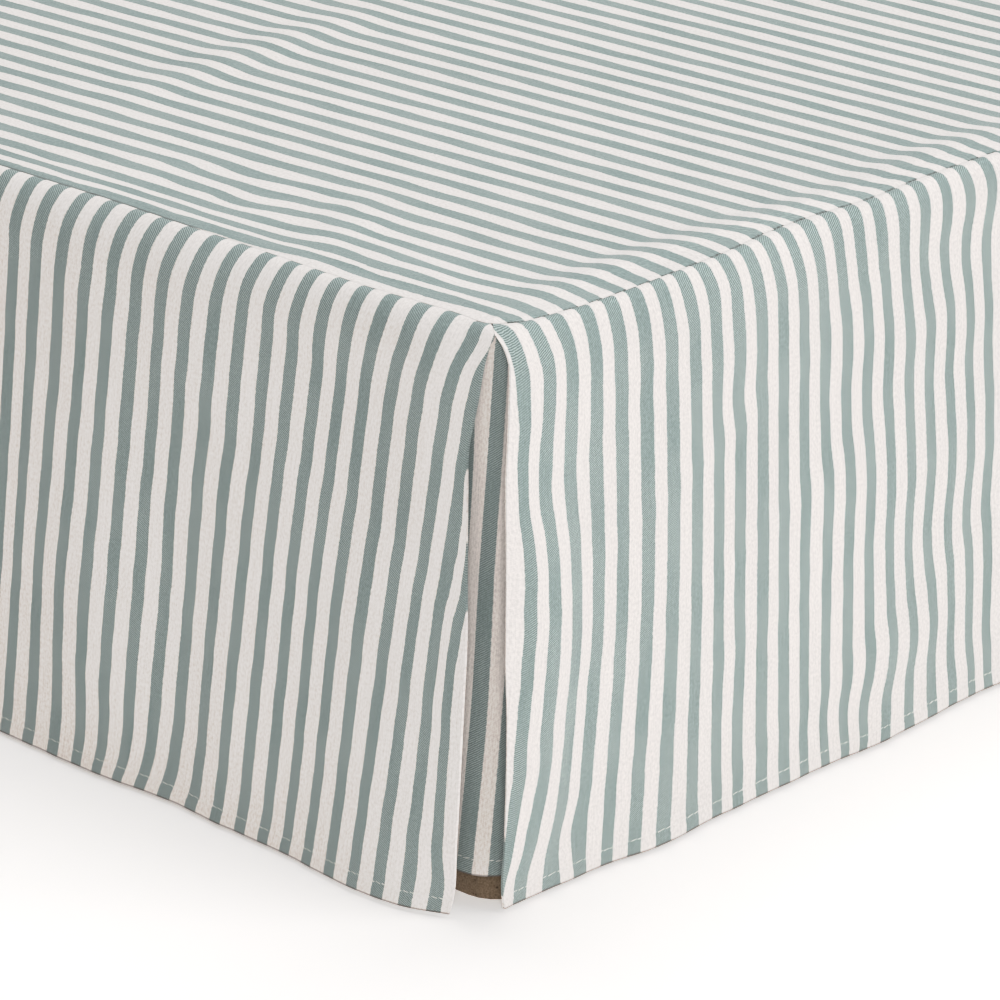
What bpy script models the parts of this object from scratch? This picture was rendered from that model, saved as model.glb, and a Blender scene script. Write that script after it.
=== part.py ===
"""A twin bed base dressed with a tailored bed skirt that is split at the foot corners.

A deck cloth lies flat on the base. A drop is sewn to each of its long sides and to its
foot, and an insert hangs behind the split at each foot corner. The head end is open.
+X runs to the foot of the bed, +Y to its far side and +Z up, the floor is z = 0, and all
sizes are in metres. Run it in Blender, with --python or from the Text Editor.
"""

import math
from collections import namedtuple

import bmesh
import bpy
from mathutils import Vector

# The bed base
BASE_LENGTH = 1.905
BASE_WIDTH = 0.965
BASE_HEIGHT = 0.3755
BASE_CORNER_RADIUS = 0.025
BASE_EDGE_RADIUS = 0.008
CORNER_STEPS = 5
EDGE_STEPS = 3

# The cloth
CLOTH = 0.0018
SEWN_GAP = 0.0003
SEAM_HEIGHT = BASE_HEIGHT + SEWN_GAP + CLOTH
HEM_HEIGHT = 0.003

# Each side has a hanging plane, which its drop falls along, outside the base
STANDOFF = 0.018
SEAM_INSET = 0.020
ROUND_CENTRE = STANDOFF + BASE_CORNER_RADIUS
SEAM_CORNER_RADIUS = ROUND_CENTRE - SEAM_INSET
# The drops meet on the round of a foot corner, a little to its long side
LONG_START = 0.0305
FOOT_START = ROUND_CENTRE - math.sqrt(SEAM_CORNER_RADIUS**2 - (ROUND_CENTRE - LONG_START) ** 2)
FOOT_SPAN = BASE_WIDTH + 2 * STANDOFF
LONG_SPAN = BASE_LENGTH + STANDOFF
DECK_GAP = 0.0004
DECK_HEAD_INSET = 0.010
DROP_HEAD_INSET = 0.003

# Where the folds of a drop are given, below the seam
FOLD_TOP = 0.055
FOLD_MIDDLE = 0.190
FOLD_LOW = 0.320
FOLD_HEM = 0.372
SHOULDER_ANGLES = (0, 14, 32, 52, 72, 90)
HANG_STEPS = 6
SPLIT_FADE = 0.110
TUCK_REACH = 0.034
WIDE_COLUMN = 0.038

# The inserts at the foot corners
INSERT_REACH = 0.080
INSERT_TOP = BASE_HEIGHT - 0.0009
INSERT_HEM_HEIGHT = 0.0195
INSERT_FALL = ((0.0, -0.0182), (0.0012, -0.0162), (0.0035, -0.0147), (0.0090, -0.0139))
INSERT_STEPS = 4
INSERT_ARC_STEPS = 5
INSERT_BESIDE_ARC = 0.018
INSERT_LEAN = 0.005

Hang = namedtuple("Hang", "shoulder_out shoulder_drop hem_out")
Seam = namedtuple("Seam", "place near far")
FootSeam = namedtuple("FootSeam", "place out")
Fold = namedtuple("Fold", "place reach top middle low hem")
Split = namedtuple("Split", "depth place")
Tuck = namedtuple("Tuck", "depth out")
Ridge = namedtuple("Ridge", "from_foot from_side heading length reach height")

# How far the seams wander outwards along the long sides, by distance from the foot
LONG_SEAMS = (
    Seam(0.0350, 0.0000, 0.0000),
    Seam(0.0550, -0.0026, -0.0018),
    Seam(0.0850, -0.0014, 0.0006),
    Seam(0.1300, 0.0012, 0.0022),
    Seam(0.1800, 0.0008, 0.0008),
    Seam(0.2400, -0.0004, -0.0016),
    Seam(0.3000, -0.0002, -0.0020),
    Seam(0.3600, -0.0007, 0.0004),
    Seam(0.4300, 0.0014, 0.0024),
    Seam(0.5000, 0.0026, 0.0014),
    Seam(0.6000, 0.0008, -0.0012),
    Seam(0.7000, -0.0014, -0.0022),
    Seam(0.8200, 0.0004, 0.0010),
    Seam(0.9400, 0.0022, 0.0024),
    Seam(1.0600, 0.0006, 0.0002),
    Seam(1.1800, -0.0018, -0.0014),
    Seam(1.3000, -0.0006, 0.0012),
    Seam(1.4200, 0.0018, 0.0022),
    Seam(1.5400, 0.0010, -0.0006),
    Seam(1.6600, -0.0014, -0.0020),
    Seam(1.7800, 0.0002, 0.0008),
    Seam(1.8700, 0.0008, 0.0002),
)

# The same across the foot, by distance from the near side
FOOT_SEAM = (
    FootSeam(0.0350, 0.0006),
    FootSeam(0.0550, 0.0034),
    FootSeam(0.0850, 0.0068),
    FootSeam(0.1300, 0.0072),
    FootSeam(0.1800, 0.0056),
    FootSeam(0.2200, 0.0038),
    FootSeam(0.2650, -0.0018),
    FootSeam(0.3100, -0.0016),
    FootSeam(0.3550, 0.0018),
    FootSeam(0.4000, -0.0008),
    FootSeam(0.4600, -0.0006),
    FootSeam(0.5300, 0.0012),
    FootSeam(0.6000, 0.0032),
    FootSeam(0.6700, 0.0004),
    FootSeam(0.7400, -0.0018),
    FootSeam(0.8100, 0.0010),
    FootSeam(0.8700, 0.0046),
    FootSeam(0.9200, 0.0052),
    FootSeam(0.9460, 0.0030),
    FootSeam(0.9660, 0.0004),
)

# Folds of the drops: each is a soft upright bump or, below zero, a trough
NEAR_FOLDS = (
    Fold(0.015, 0.050, -0.005, 0.000, 0.000, -0.010),
    Fold(0.085, 0.085, -0.004, 0.001, 0.006, 0.007),
    Fold(0.140, 0.080, -0.004, 0.000, -0.001, 0.002),
    Fold(0.270, 0.055, 0.003, -0.003, -0.006, -0.003),
    Fold(0.350, 0.055, 0.004, 0.005, 0.005, 0.001),
    Fold(0.455, 0.060, -0.003, -0.004, -0.004, -0.002),
    Fold(0.560, 0.070, 0.004, 0.006, 0.007, 0.005),
    Fold(0.675, 0.060, -0.002, -0.006, -0.008, -0.008),
    Fold(0.790, 0.080, 0.003, 0.005, 0.006, 0.008),
    Fold(0.930, 0.070, -0.004, -0.003, -0.005, -0.006),
    Fold(1.060, 0.075, 0.002, 0.006, 0.008, 0.007),
    Fold(1.190, 0.065, 0.001, -0.005, -0.007, -0.009),
    Fold(1.310, 0.080, -0.003, 0.003, 0.005, 0.008),
    Fold(1.450, 0.070, 0.004, -0.002, -0.006, -0.007),
    Fold(1.570, 0.070, -0.002, 0.006, 0.007, 0.006),
    Fold(1.700, 0.080, 0.002, -0.004, -0.006, -0.008),
    Fold(1.840, 0.080, -0.003, 0.002, 0.005, 0.007),
)
FAR_FOLDS = (
    Fold(0.015, 0.050, -0.001, 0.001, 0.002, -0.007),
    Fold(0.060, 0.065, -0.003, 0.002, 0.004, 0.006),
    Fold(0.150, 0.075, -0.004, -0.003, -0.004, -0.003),
    Fold(0.255, 0.065, 0.004, 0.004, 0.003, 0.005),
    Fold(0.370, 0.070, -0.002, -0.005, -0.006, -0.007),
    Fold(0.500, 0.075, 0.003, 0.006, 0.007, 0.009),
    Fold(0.630, 0.060, -0.004, -0.003, -0.005, -0.004),
    Fold(0.740, 0.065, 0.002, 0.004, 0.004, 0.003),
    Fold(0.865, 0.080, -0.001, -0.006, -0.008, -0.009),
    Fold(1.010, 0.075, 0.004, 0.005, 0.006, 0.008),
    Fold(1.140, 0.070, -0.003, -0.002, -0.004, -0.006),
    Fold(1.265, 0.065, 0.002, 0.005, 0.008, 0.008),
    Fold(1.390, 0.075, -0.002, -0.005, -0.006, -0.005),
    Fold(1.520, 0.070, 0.003, 0.003, 0.004, 0.006),
    Fold(1.650, 0.075, -0.004, -0.004, -0.007, -0.008),
    Fold(1.780, 0.070, 0.002, 0.006, 0.006, 0.007),
    Fold(1.880, 0.060, 0.000, -0.002, -0.003, -0.004),
)
FOOT_FOLDS = (
    Fold(0.028, 0.050, 0.003, 0.014, 0.009, -0.002),
    Fold(0.080, 0.110, 0.003, 0.008, 0.001, -0.002),
    Fold(0.150, 0.055, 0.003, 0.006, 0.006, 0.005),
    Fold(0.205, 0.065, 0.004, 0.004, 0.001, 0.001),
    Fold(0.325, 0.060, -0.006, 0.000, -0.001, -0.001),
    Fold(0.358, 0.045, 0.000, 0.003, 0.006, 0.002),
    Fold(0.400, 0.070, -0.007, -0.001, 0.000, 0.000),
    Fold(0.475, 0.090, -0.012, -0.006, -0.007, -0.005),
    Fold(0.580, 0.070, 0.003, 0.006, 0.006, 0.005),
    Fold(0.680, 0.060, -0.004, -0.004, -0.003, -0.003),
    Fold(0.775, 0.065, 0.004, 0.006, 0.007, 0.006),
    Fold(0.865, 0.060, -0.005, -0.004, -0.002, -0.002),
    Fold(0.930, 0.080, 0.002, 0.006, 0.002, -0.001),
    Fold(0.972, 0.050, 0.003, 0.010, 0.007, -0.001),
)

# The free edge of a drop at a split: its distance from the corner, by depth
LONG_SPLIT = (
    Split(0.000, 0.0310),
    Split(0.004, 0.0216),
    Split(0.014, 0.0219),
    Split(0.030, 0.0216),
    Split(0.055, 0.0241),
    Split(0.075, 0.0264),
    Split(0.105, 0.0243),
    Split(0.140, 0.0211),
    Split(0.186, 0.0168),
    Split(0.230, 0.0160),
    Split(0.285, 0.0161),
    Split(0.320, 0.0176),
    Split(0.350, 0.0212),
    Split(0.375, 0.0277),
)
FOOT_SPLIT = (
    Split(0.000, 0.0243),
    Split(0.003, 0.0152),
    Split(0.010, 0.0158),
    Split(0.020, 0.0148),
    Split(0.033, 0.0118),
    Split(0.062, 0.0071),
    Split(0.088, 0.0034),
    Split(0.130, 0.0015),
    Split(0.200, 0.0007),
    Split(0.235, 0.0022),
    Split(0.290, 0.0043),
    Split(0.330, 0.0060),
    Split(0.355, 0.0086),
    Split(0.375, 0.0145),
)

# How the top of a drop is drawn in beside a split
LONG_TUCK = (
    Tuck(0.000, 0.0000),
    Tuck(0.004, -0.0055),
    Tuck(0.014, -0.0068),
    Tuck(0.030, -0.0046),
    Tuck(0.055, -0.0010),
    Tuck(0.080, 0.0000),
)
FOOT_TUCK = (
    Tuck(0.000, 0.0000),
    Tuck(0.004, -0.0005),
    Tuck(0.016, -0.0040),
    Tuck(0.030, -0.0052),
    Tuck(0.056, -0.0030),
    Tuck(0.098, -0.0006),
    Tuck(0.120, 0.0000),
)

# Low ridges that lift the deck off the base; a heading of 0 runs across the bed
DECK_RIDGES = (
    Ridge(0.040, 0.160, 0, 0.150, 0.028, 0.0048),
    Ridge(0.036, 0.300, -2, 0.130, 0.024, 0.0034),
    Ridge(0.042, 0.450, 2, 0.130, 0.028, 0.0038),
    Ridge(0.038, 0.640, -1, 0.160, 0.026, 0.0036),
    Ridge(0.042, 0.830, 1, 0.150, 0.028, 0.0044),
    Ridge(0.120, 0.052, 84, 0.110, 0.032, 0.0034),
    Ridge(0.215, 0.085, 22, 0.080, 0.036, 0.0026),
    Ridge(0.150, 0.945, 92, 0.120, 0.034, 0.0030),
    Ridge(0.290, 0.900, -26, 0.090, 0.040, 0.0026),
    Ridge(0.514, 0.300, 5, 0.190, 0.036, 0.0030),
    Ridge(0.600, 0.800, -12, 0.150, 0.040, 0.0026),
    Ridge(0.780, 0.080, 18, 0.090, 0.050, 0.0022),
    Ridge(1.180, 0.125, 12, 0.150, 0.055, 0.0026),
    Ridge(1.300, 0.875, -16, 0.150, 0.055, 0.0024),
    Ridge(1.720, 0.140, -10, 0.150, 0.055, 0.0022),
)
DECK_FADE = 0.016
DECK_EXTRA_ROWS = (0.045, 0.068, 0.107, 0.482, 0.514, 0.548, 0.640)

# Finishes; faces that meet at more than an angle stay sharp
CLOTH_SHARP = 50
BASE_SHARP = 40
CLOTH_COLOUR = (0.62, 0.64, 0.61, 1.0)
BASE_COLOUR = (0.16, 0.10, 0.07, 1.0)


def clear_scene():
    for item in list(bpy.data.objects):
        bpy.data.objects.remove(item, do_unlink=True)


def cloth_finish(name, colour, roughness):
    """A plain woven finish for one piece."""
    finish = bpy.data.materials.new(name)
    finish.use_nodes = True
    shader = finish.node_tree.nodes["Principled BSDF"]
    shader.inputs["Base Color"].default_value = colour
    shader.inputs["Roughness"].default_value = roughness
    shader.inputs["Metallic"].default_value = 0.0
    return finish


def straight(rows, x):
    """The value at x of straight lines through rows of (x, value)."""
    if x <= rows[0][0]:
        return rows[0][1]
    for (x0, y0), (x1, y1) in zip(rows, rows[1:]):
        if x <= x1:
            return y0 + (y1 - y0) * (x - x0) / (x1 - x0)
    return rows[-1][1]


def smooth(rows, x):
    """The value at x of one smooth curve through rows of (x, value)."""
    if x <= rows[0][0]:
        return rows[0][1]
    if x >= rows[-1][0]:
        return rows[-1][1]
    last = len(rows) - 1
    i = next(k for k in range(last) if x <= rows[k + 1][0])

    def slope(k):
        (x0, y0), (x1, y1) = rows[max(k - 1, 0)], rows[min(k + 1, last)]
        return (y1 - y0) / (x1 - x0)

    (x0, y0), (x1, y1) = rows[i], rows[i + 1]
    width = x1 - x0
    t = (x - x0) / width
    start = (1 + 2 * t) * (1 - t) ** 2 * y0 + t * (1 - t) ** 2 * width * slope(i)
    end = t * t * (3 - 2 * t) * y1 + t * t * (t - 1) * width * slope(i + 1)
    return start + end


def bump(offset, reach):
    """A round-topped bump of height 1 that ends at reach on both sides."""
    if abs(offset) >= reach:
        return 0.0
    return 0.5 + 0.5 * math.cos(math.pi * offset / reach)


def seam_rows(wander, start, span, rounded_end):
    """The seam of one side as rows of (place, out), with its rounded foot corners."""

    def rounding(place):
        beyond = ROUND_CENTRE - min(place, span - place if rounded_end else place)
        if beyond <= 0:
            return 0.0
        return SEAM_CORNER_RADIUS - math.sqrt(SEAM_CORNER_RADIUS**2 - beyond**2)

    places = [(start, 0.0)] + list(wander)
    if rounded_end:
        places.append((span - start, 0.0))
    return [(place, out - SEAM_INSET - rounding(place)) for place, out in places]


NEAR_ROWS = [(row.place, row.near) for row in LONG_SEAMS]
FAR_ROWS = [(row.place, row.far) for row in LONG_SEAMS]
NEAR_SEAM = seam_rows(NEAR_ROWS, LONG_START, LONG_SPAN, False)
FAR_SEAM = seam_rows(FAR_ROWS, LONG_START, LONG_SPAN, False)
ACROSS_SEAM = seam_rows([tuple(row) for row in FOOT_SEAM], FOOT_START, FOOT_SPAN, True)


class Side:
    """One side of the bed: its hanging plane, its seam and the way its drop hangs."""

    def __init__(self, corner, along, out, span, seam, hang, folds, splits, tuck, end_inset):
        self.corner = Vector(corner)
        self.along = Vector(along)
        self.out = Vector(out)
        self.span = span
        self.seam = seam
        self.hang = hang
        self.folds = folds
        self.start_split, self.end_split = splits
        self.tuck = tuck
        self.end_inset = end_inset

    def at(self, place, out, height):
        """The point at a distance along the side, outside its plane, above the floor."""
        point = self.corner + self.along * place + self.out * out
        return Vector((point.x, point.y, height))

    def columns(self):
        """Places along the seam: its own rows, and one between each two of them."""
        start = self.start_split[0].place
        end = self.span - self.end_inset
        if self.end_split:
            end = self.span - self.end_split[0].place
        rows = [place for place, _ in self.seam if start < place < end]
        places = [start] + rows + [end]
        halves = [(a + b) / 2 for a, b in zip(places, places[1:]) if b - a > WIDE_COLUMN]
        return sorted(places + halves)

    def fold_out(self, place, depth):
        total = 0.0
        for fold in self.folds:
            rows = (
                (0.0, 0.0),
                (FOLD_TOP, fold.top),
                (FOLD_MIDDLE, fold.middle),
                (FOLD_LOW, fold.low),
                (FOLD_HEM, fold.hem),
            )
            total += bump(place - fold.place, fold.reach) * smooth(rows, depth)
        return total

    def hang_out(self, place, moved, depth):
        """How far the cloth stands outside the hanging plane at a depth below the seam.

        The cloth is sewn in at place, and a split beside it may have moved it along.
        """
        seam_out = straight(self.seam, place)
        shoulder = self.hang.shoulder_drop
        if depth < shoulder:
            turn = math.acos(1 - depth / shoulder)
            out = seam_out + (self.hang.shoulder_out - seam_out) * math.sin(turn)
        else:
            fall = (depth - shoulder) / (SEAM_HEIGHT - HEM_HEIGHT - shoulder)
            out = self.hang.shoulder_out
            out += (self.hang.hem_out - self.hang.shoulder_out) * fall
        return out + self.fold_out(moved, depth) + self.tuck_out(place, depth)

    def tuck_out(self, place, depth):
        """How far a drop is drawn in at the top of a split."""
        beside = bump(place - self.start_split[0].place, TUCK_REACH)
        if self.end_split:
            beside += bump(self.span - self.end_split[0].place - place, TUCK_REACH)
        return smooth(self.tuck, depth) * beside

    def split_shift(self, place, depth):
        """How far the cloth beside a split moves along the side to follow its edge."""
        shift = 0.0
        near_start = 1 - (place - self.start_split[0].place) / SPLIT_FADE
        if near_start > 0:
            edge = smooth(self.start_split, depth) - self.start_split[0].place
            shift += edge * near_start
        if self.end_split:
            near_end = 1 - (self.span - self.end_split[0].place - place) / SPLIT_FADE
            if near_end > 0:
                edge = smooth(self.end_split, depth) - self.end_split[0].place
                shift -= edge * near_end
        return shift

    def drop_point(self, place, depth):
        """A point on the outside of the drop."""
        moved = place + self.split_shift(place, depth)
        return self.at(moved, self.hang_out(place, moved, depth), SEAM_HEIGHT - depth)

    def depths(self):
        shoulder = self.hang.shoulder_drop
        turned = [shoulder * (1 - math.cos(math.radians(a))) for a in SHOULDER_ANGLES]
        full = SEAM_HEIGHT - HEM_HEIGHT
        step = (full - shoulder) / HANG_STEPS
        return turned + [shoulder + step * (i + 1) for i in range(HANG_STEPS)]

    def drop_grid(self):
        return [[self.drop_point(p, d) for d in self.depths()] for p in self.columns()]


HALF_LENGTH = BASE_LENGTH / 2
NEAR_CORNER = (HALF_LENGTH + STANDOFF, -FOOT_SPAN / 2, 0.0)
FAR_CORNER = (HALF_LENGTH + STANDOFF, FOOT_SPAN / 2, 0.0)

NEAR = Side(
    NEAR_CORNER,
    (-1, 0, 0),
    (0, -1, 0),
    LONG_SPAN,
    NEAR_SEAM,
    Hang(0.004, 0.038, 0.022),
    NEAR_FOLDS,
    (LONG_SPLIT, None),
    LONG_TUCK,
    DROP_HEAD_INSET,
)
FAR = Side(
    FAR_CORNER,
    (-1, 0, 0),
    (0, 1, 0),
    LONG_SPAN,
    FAR_SEAM,
    Hang(0.004, 0.038, 0.020),
    FAR_FOLDS,
    (LONG_SPLIT, None),
    LONG_TUCK,
    DROP_HEAD_INSET,
)
FOOT = Side(
    NEAR_CORNER,
    (0, 1, 0),
    (1, 0, 0),
    FOOT_SPAN,
    ACROSS_SEAM,
    Hang(0.000, 0.036, -0.006),
    FOOT_FOLDS,
    (FOOT_SPLIT, FOOT_SPLIT),
    FOOT_TUCK,
    0.0,
)


def link(name, mesh, finish):
    item = bpy.data.objects.new(name, mesh)
    bpy.context.scene.collection.objects.link(item)
    mesh.materials.append(finish)
    return item


def grid_normals(grid):
    """The outward normal at each point of a grid of columns from top to bottom."""

    def ends(index, count):
        return max(index - 1, 0), min(index + 1, count - 1)

    normals = []
    for i, column in enumerate(grid):
        i0, i1 = ends(i, len(grid))
        row_normals = []
        for j in range(len(column)):
            j0, j1 = ends(j, len(column))
            sideways = grid[i1][j] - grid[i0][j]
            down = grid[i][j1] - grid[i][j0]
            row_normals.append(sideways.cross(down).normalized())
        normals.append(row_normals)
    return normals


def closed_sheet(name, outer, inner, finish):
    """One closed solid between two like grids of points, with its rim."""
    shell = bmesh.new()
    front = [[shell.verts.new(point) for point in column] for column in outer]
    back = [[shell.verts.new(point) for point in column] for column in inner]
    across, down = len(outer), len(outer[0])
    for i in range(across - 1):
        for j in range(down - 1):
            shell.faces.new(
                (front[i][j], front[i + 1][j], front[i + 1][j + 1], front[i][j + 1])
            )
            shell.faces.new((back[i][j], back[i][j + 1], back[i + 1][j + 1], back[i + 1][j]))
    for i in range(across - 1):
        for j in (0, down - 1):
            shell.faces.new((front[i][j], front[i + 1][j], back[i + 1][j], back[i][j]))
    for j in range(down - 1):
        for i in (0, across - 1):
            shell.faces.new((front[i][j], front[i][j + 1], back[i][j + 1], back[i][j]))
    bmesh.ops.recalc_face_normals(shell, faces=shell.faces)
    mesh = bpy.data.meshes.new(name)
    shell.to_mesh(mesh)
    shell.free()
    mesh.shade_smooth()
    mesh.set_sharp_from_angle(angle=math.radians(CLOTH_SHARP))
    return link(name, mesh, finish)


def hung_sheet(name, grid, outward, finish):
    """Cloth of even thickness behind a grid, with a level cut along its sewn edge."""
    all_normals = grid_normals(grid)
    facing = all_normals[len(grid) // 2][-1].dot(Vector(outward))
    thickness = math.copysign(CLOTH, facing)
    inner = []
    for column, normals in zip(grid, all_normals):
        below = [p - n * thickness for p, n in zip(column, normals)]
        below[0] = column[0] - Vector((0, 0, CLOTH))
        inner.append(below)
    return closed_sheet(name, grid, inner, finish)


def build_base():
    """The base: a box with round upright corners and a soft top edge."""
    shell = bmesh.new()
    bmesh.ops.create_cube(shell, size=1.0)
    for vert in shell.verts:
        vert.co.x *= BASE_LENGTH
        vert.co.y *= BASE_WIDTH
        vert.co.z = (vert.co.z + 0.5) * BASE_HEIGHT
    upright = [e for e in shell.edges if abs(e.verts[0].co.z - e.verts[1].co.z) > 0.1]
    bmesh.ops.bevel(
        shell,
        geom=upright,
        offset=BASE_CORNER_RADIUS,
        offset_type="OFFSET",
        segments=CORNER_STEPS,
        profile=0.5,
        affect="EDGES",
    )
    top = [e for e in shell.edges if all(v.co.z > BASE_HEIGHT - 0.001 for v in e.verts)]
    bmesh.ops.bevel(
        shell,
        geom=top,
        offset=BASE_EDGE_RADIUS,
        offset_type="OFFSET",
        segments=EDGE_STEPS,
        profile=0.5,
        affect="EDGES",
    )
    mesh = bpy.data.meshes.new("bed_base")
    shell.to_mesh(mesh)
    shell.free()
    mesh.shade_smooth()
    mesh.set_sharp_from_angle(angle=math.radians(BASE_SHARP))
    return link("bed_base", mesh, cloth_finish("base cloth", BASE_COLOUR, 0.9))


def deck_lift(from_foot, from_side):
    """How high the ridges lift the deck at a place; its middle and its rim lie flat."""
    lift = 0.0
    for ridge in DECK_RIDGES:
        heading = math.radians(ridge.heading)
        dx = from_foot - ridge.from_foot
        dy = from_side - ridge.from_side
        along = dx * math.sin(heading) + dy * math.cos(heading)
        across = dx * math.cos(heading) - dy * math.sin(heading)
        lift += ridge.height * bump(along, ridge.length) * bump(across, ridge.reach)
    rim = min(from_foot, from_side, FOOT_SPAN - from_side, LONG_SPAN - from_foot)
    return lift * min(1.0, max(0.0, rim - SEAM_INSET) / DECK_FADE)


def build_deck():
    """The deck cloth: sewn on three sides, hemmed across the head."""
    foot_places = [place for place, _ in ACROSS_SEAM]
    long_places = [place for place, _ in NEAR_SEAM] + list(DECK_EXTRA_ROWS)
    long_places = sorted(long_places) + [LONG_SPAN - DECK_HEAD_INSET]
    last = len(foot_places) - 1
    top, under = [], []
    for i, from_foot in enumerate(long_places):
        top_row, under_row = [], []
        for j, from_side in enumerate(foot_places):
            x, y = from_foot, from_side
            if i == 0:
                x = DECK_GAP - straight(ACROSS_SEAM, from_side)
            if j == 0:
                y = DECK_GAP - straight(NEAR_SEAM, from_foot)
            if j == last:
                y = FOOT_SPAN - DECK_GAP + straight(FAR_SEAM, from_foot)
            lift = 0.0 if i == 0 or j in (0, last) else deck_lift(x, y)
            point = Vector(NEAR_CORNER) + Vector((-x, y, SEAM_HEIGHT + lift))
            top_row.append(point)
            under_row.append(point - Vector((0, 0, CLOTH)))
        top.append(top_row)
        under.append(under_row)
    return closed_sheet("deck", top, under, cloth_finish("deck cloth", CLOTH_COLOUR, 0.85))


def build_drop(name, side):
    finish = cloth_finish(name.replace("_", " ") + " cloth", CLOTH_COLOUR, 0.85)
    return hung_sheet(name, side.drop_grid(), side.out, finish)


def insert_line(corner, inward, out, lean):
    """The insert's line in plan, from under the long drop, round, to under the foot drop.

    Inward is the way from the long side to the bed's middle, along Y, as 1 or -1.
    """
    centre_x = corner[0] - ROUND_CENTRE
    centre_y = corner[1] + inward * ROUND_CENTRE
    beside = (INSERT_REACH - ROUND_CENTRE, INSERT_BESIDE_ARC)
    radius = ROUND_CENTRE + out
    line = [(centre_x - reach, centre_y - inward * (radius + lean)) for reach in beside]
    for step in range(INSERT_ARC_STEPS + 1):
        turn = math.radians(90) * step / INSERT_ARC_STEPS
        swing = radius + lean * math.cos(turn)
        line.append((centre_x + swing * math.sin(turn), centre_y - inward * swing * math.cos(turn)))
    line += [(centre_x + radius, centre_y + inward * reach) for reach in reversed(beside)]
    return line


def build_insert(name, corner, inward):
    """A corner insert: sewn in under the drops, and a little shorter than they are."""
    fall = INSERT_TOP - INSERT_HEM_HEIGHT
    depths = [depth for depth, _ in INSERT_FALL]
    step = (fall - depths[-1]) / INSERT_STEPS
    depths += [depths[-1] + step * (i + 1) for i in range(INSERT_STEPS)]
    rows = []
    for depth in depths:
        out = straight(INSERT_FALL, depth)
        line = insert_line(corner, inward, out, INSERT_LEAN * depth / fall)
        rows.append([Vector((x, y, INSERT_TOP - depth)) for x, y in line])
    grid = [list(column) for column in zip(*rows)]
    finish = cloth_finish(name.replace("_", " ") + " cloth", CLOTH_COLOUR, 0.85)
    return hung_sheet(name, grid, (1, -inward, 0), finish)


def stand_on_origin(pieces):
    """Move the pieces so that the middle of their outline stands over the origin."""
    points = [piece.matrix_world @ v.co for piece in pieces for v in piece.data.vertices]
    middle_x = (min(p.x for p in points) + max(p.x for p in points)) / 2
    middle_y = (min(p.y for p in points) + max(p.y for p in points)) / 2
    for piece in pieces:
        piece.location = (-middle_x, -middle_y, 0.0)


def build_bed():
    clear_scene()
    pieces = [
        build_base(),
        build_deck(),
        build_drop("drop_near", NEAR),
        build_drop("drop_foot", FOOT),
        build_drop("drop_far", FAR),
        build_insert("insert_near", NEAR_CORNER, 1),
        build_insert("insert_far", FAR_CORNER, -1),
    ]
    stand_on_origin(pieces)


build_bed()
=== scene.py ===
"""A split-corner bed skirt of striped twill on its bed base, dressed for its picture.

The deck cloth, the three drops and the two corner inserts are hung as fine sheets on the
solids of the part. Distances are metres. "Place" runs along a side from the corner that it
starts at, "depth" runs down from the seam and "out" stands off the side's hanging plane.
"""

import math
from collections import namedtuple

import bpy
import numpy as np
from mathutils import Matrix, Vector


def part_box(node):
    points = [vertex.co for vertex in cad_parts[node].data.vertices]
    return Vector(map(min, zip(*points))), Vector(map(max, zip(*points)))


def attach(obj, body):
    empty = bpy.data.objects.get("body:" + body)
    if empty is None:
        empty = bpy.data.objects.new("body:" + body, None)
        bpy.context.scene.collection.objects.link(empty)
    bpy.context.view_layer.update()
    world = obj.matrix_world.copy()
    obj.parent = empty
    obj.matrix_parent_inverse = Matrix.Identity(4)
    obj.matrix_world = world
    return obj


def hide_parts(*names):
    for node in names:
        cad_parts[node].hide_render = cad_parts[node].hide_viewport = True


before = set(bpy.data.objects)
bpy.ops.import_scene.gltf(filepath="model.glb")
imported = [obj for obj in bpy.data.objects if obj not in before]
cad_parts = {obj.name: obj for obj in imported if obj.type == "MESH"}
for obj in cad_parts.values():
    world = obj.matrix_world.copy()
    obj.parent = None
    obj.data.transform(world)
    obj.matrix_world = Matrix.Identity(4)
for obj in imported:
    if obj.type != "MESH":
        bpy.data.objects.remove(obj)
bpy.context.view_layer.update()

# --- Sizes that the part's solids have too ---
CLOTH = 0.0018
HEM_HEIGHT = 0.003
STANDOFF = 0.018
SEAM_INSET = 0.02
BASE_CORNER_RADIUS = 0.025
ROUND_CENTRE = STANDOFF + BASE_CORNER_RADIUS
SEAM_CORNER_RADIUS = ROUND_CENTRE - SEAM_INSET
LONG_START = 0.0305
FOOT_START = ROUND_CENTRE - math.sqrt(SEAM_CORNER_RADIUS**2 - (ROUND_CENTRE - LONG_START) ** 2)
SEWN_GAP = 0.0003
DECK_GAP = 0.0002
DECK_HEAD_INSET = 0.01
DROP_HEAD_INSET = 0.003
SPLIT_FADE = 0.11
TUCK_REACH = 0.034
FOLD_DEPTHS = (0.0, 0.055, 0.19, 0.32, 0.372)
INSERT_REACH = 0.08
INSERT_HEM_HEIGHT = 0.0195
INSERT_LEAN = 0.005
INSERT_SINK = 0.0009
INSERT_FALL = ((0.0, -0.0182), (0.0012, -0.0162), (0.0035, -0.0147), (0.009, -0.0139))

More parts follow.
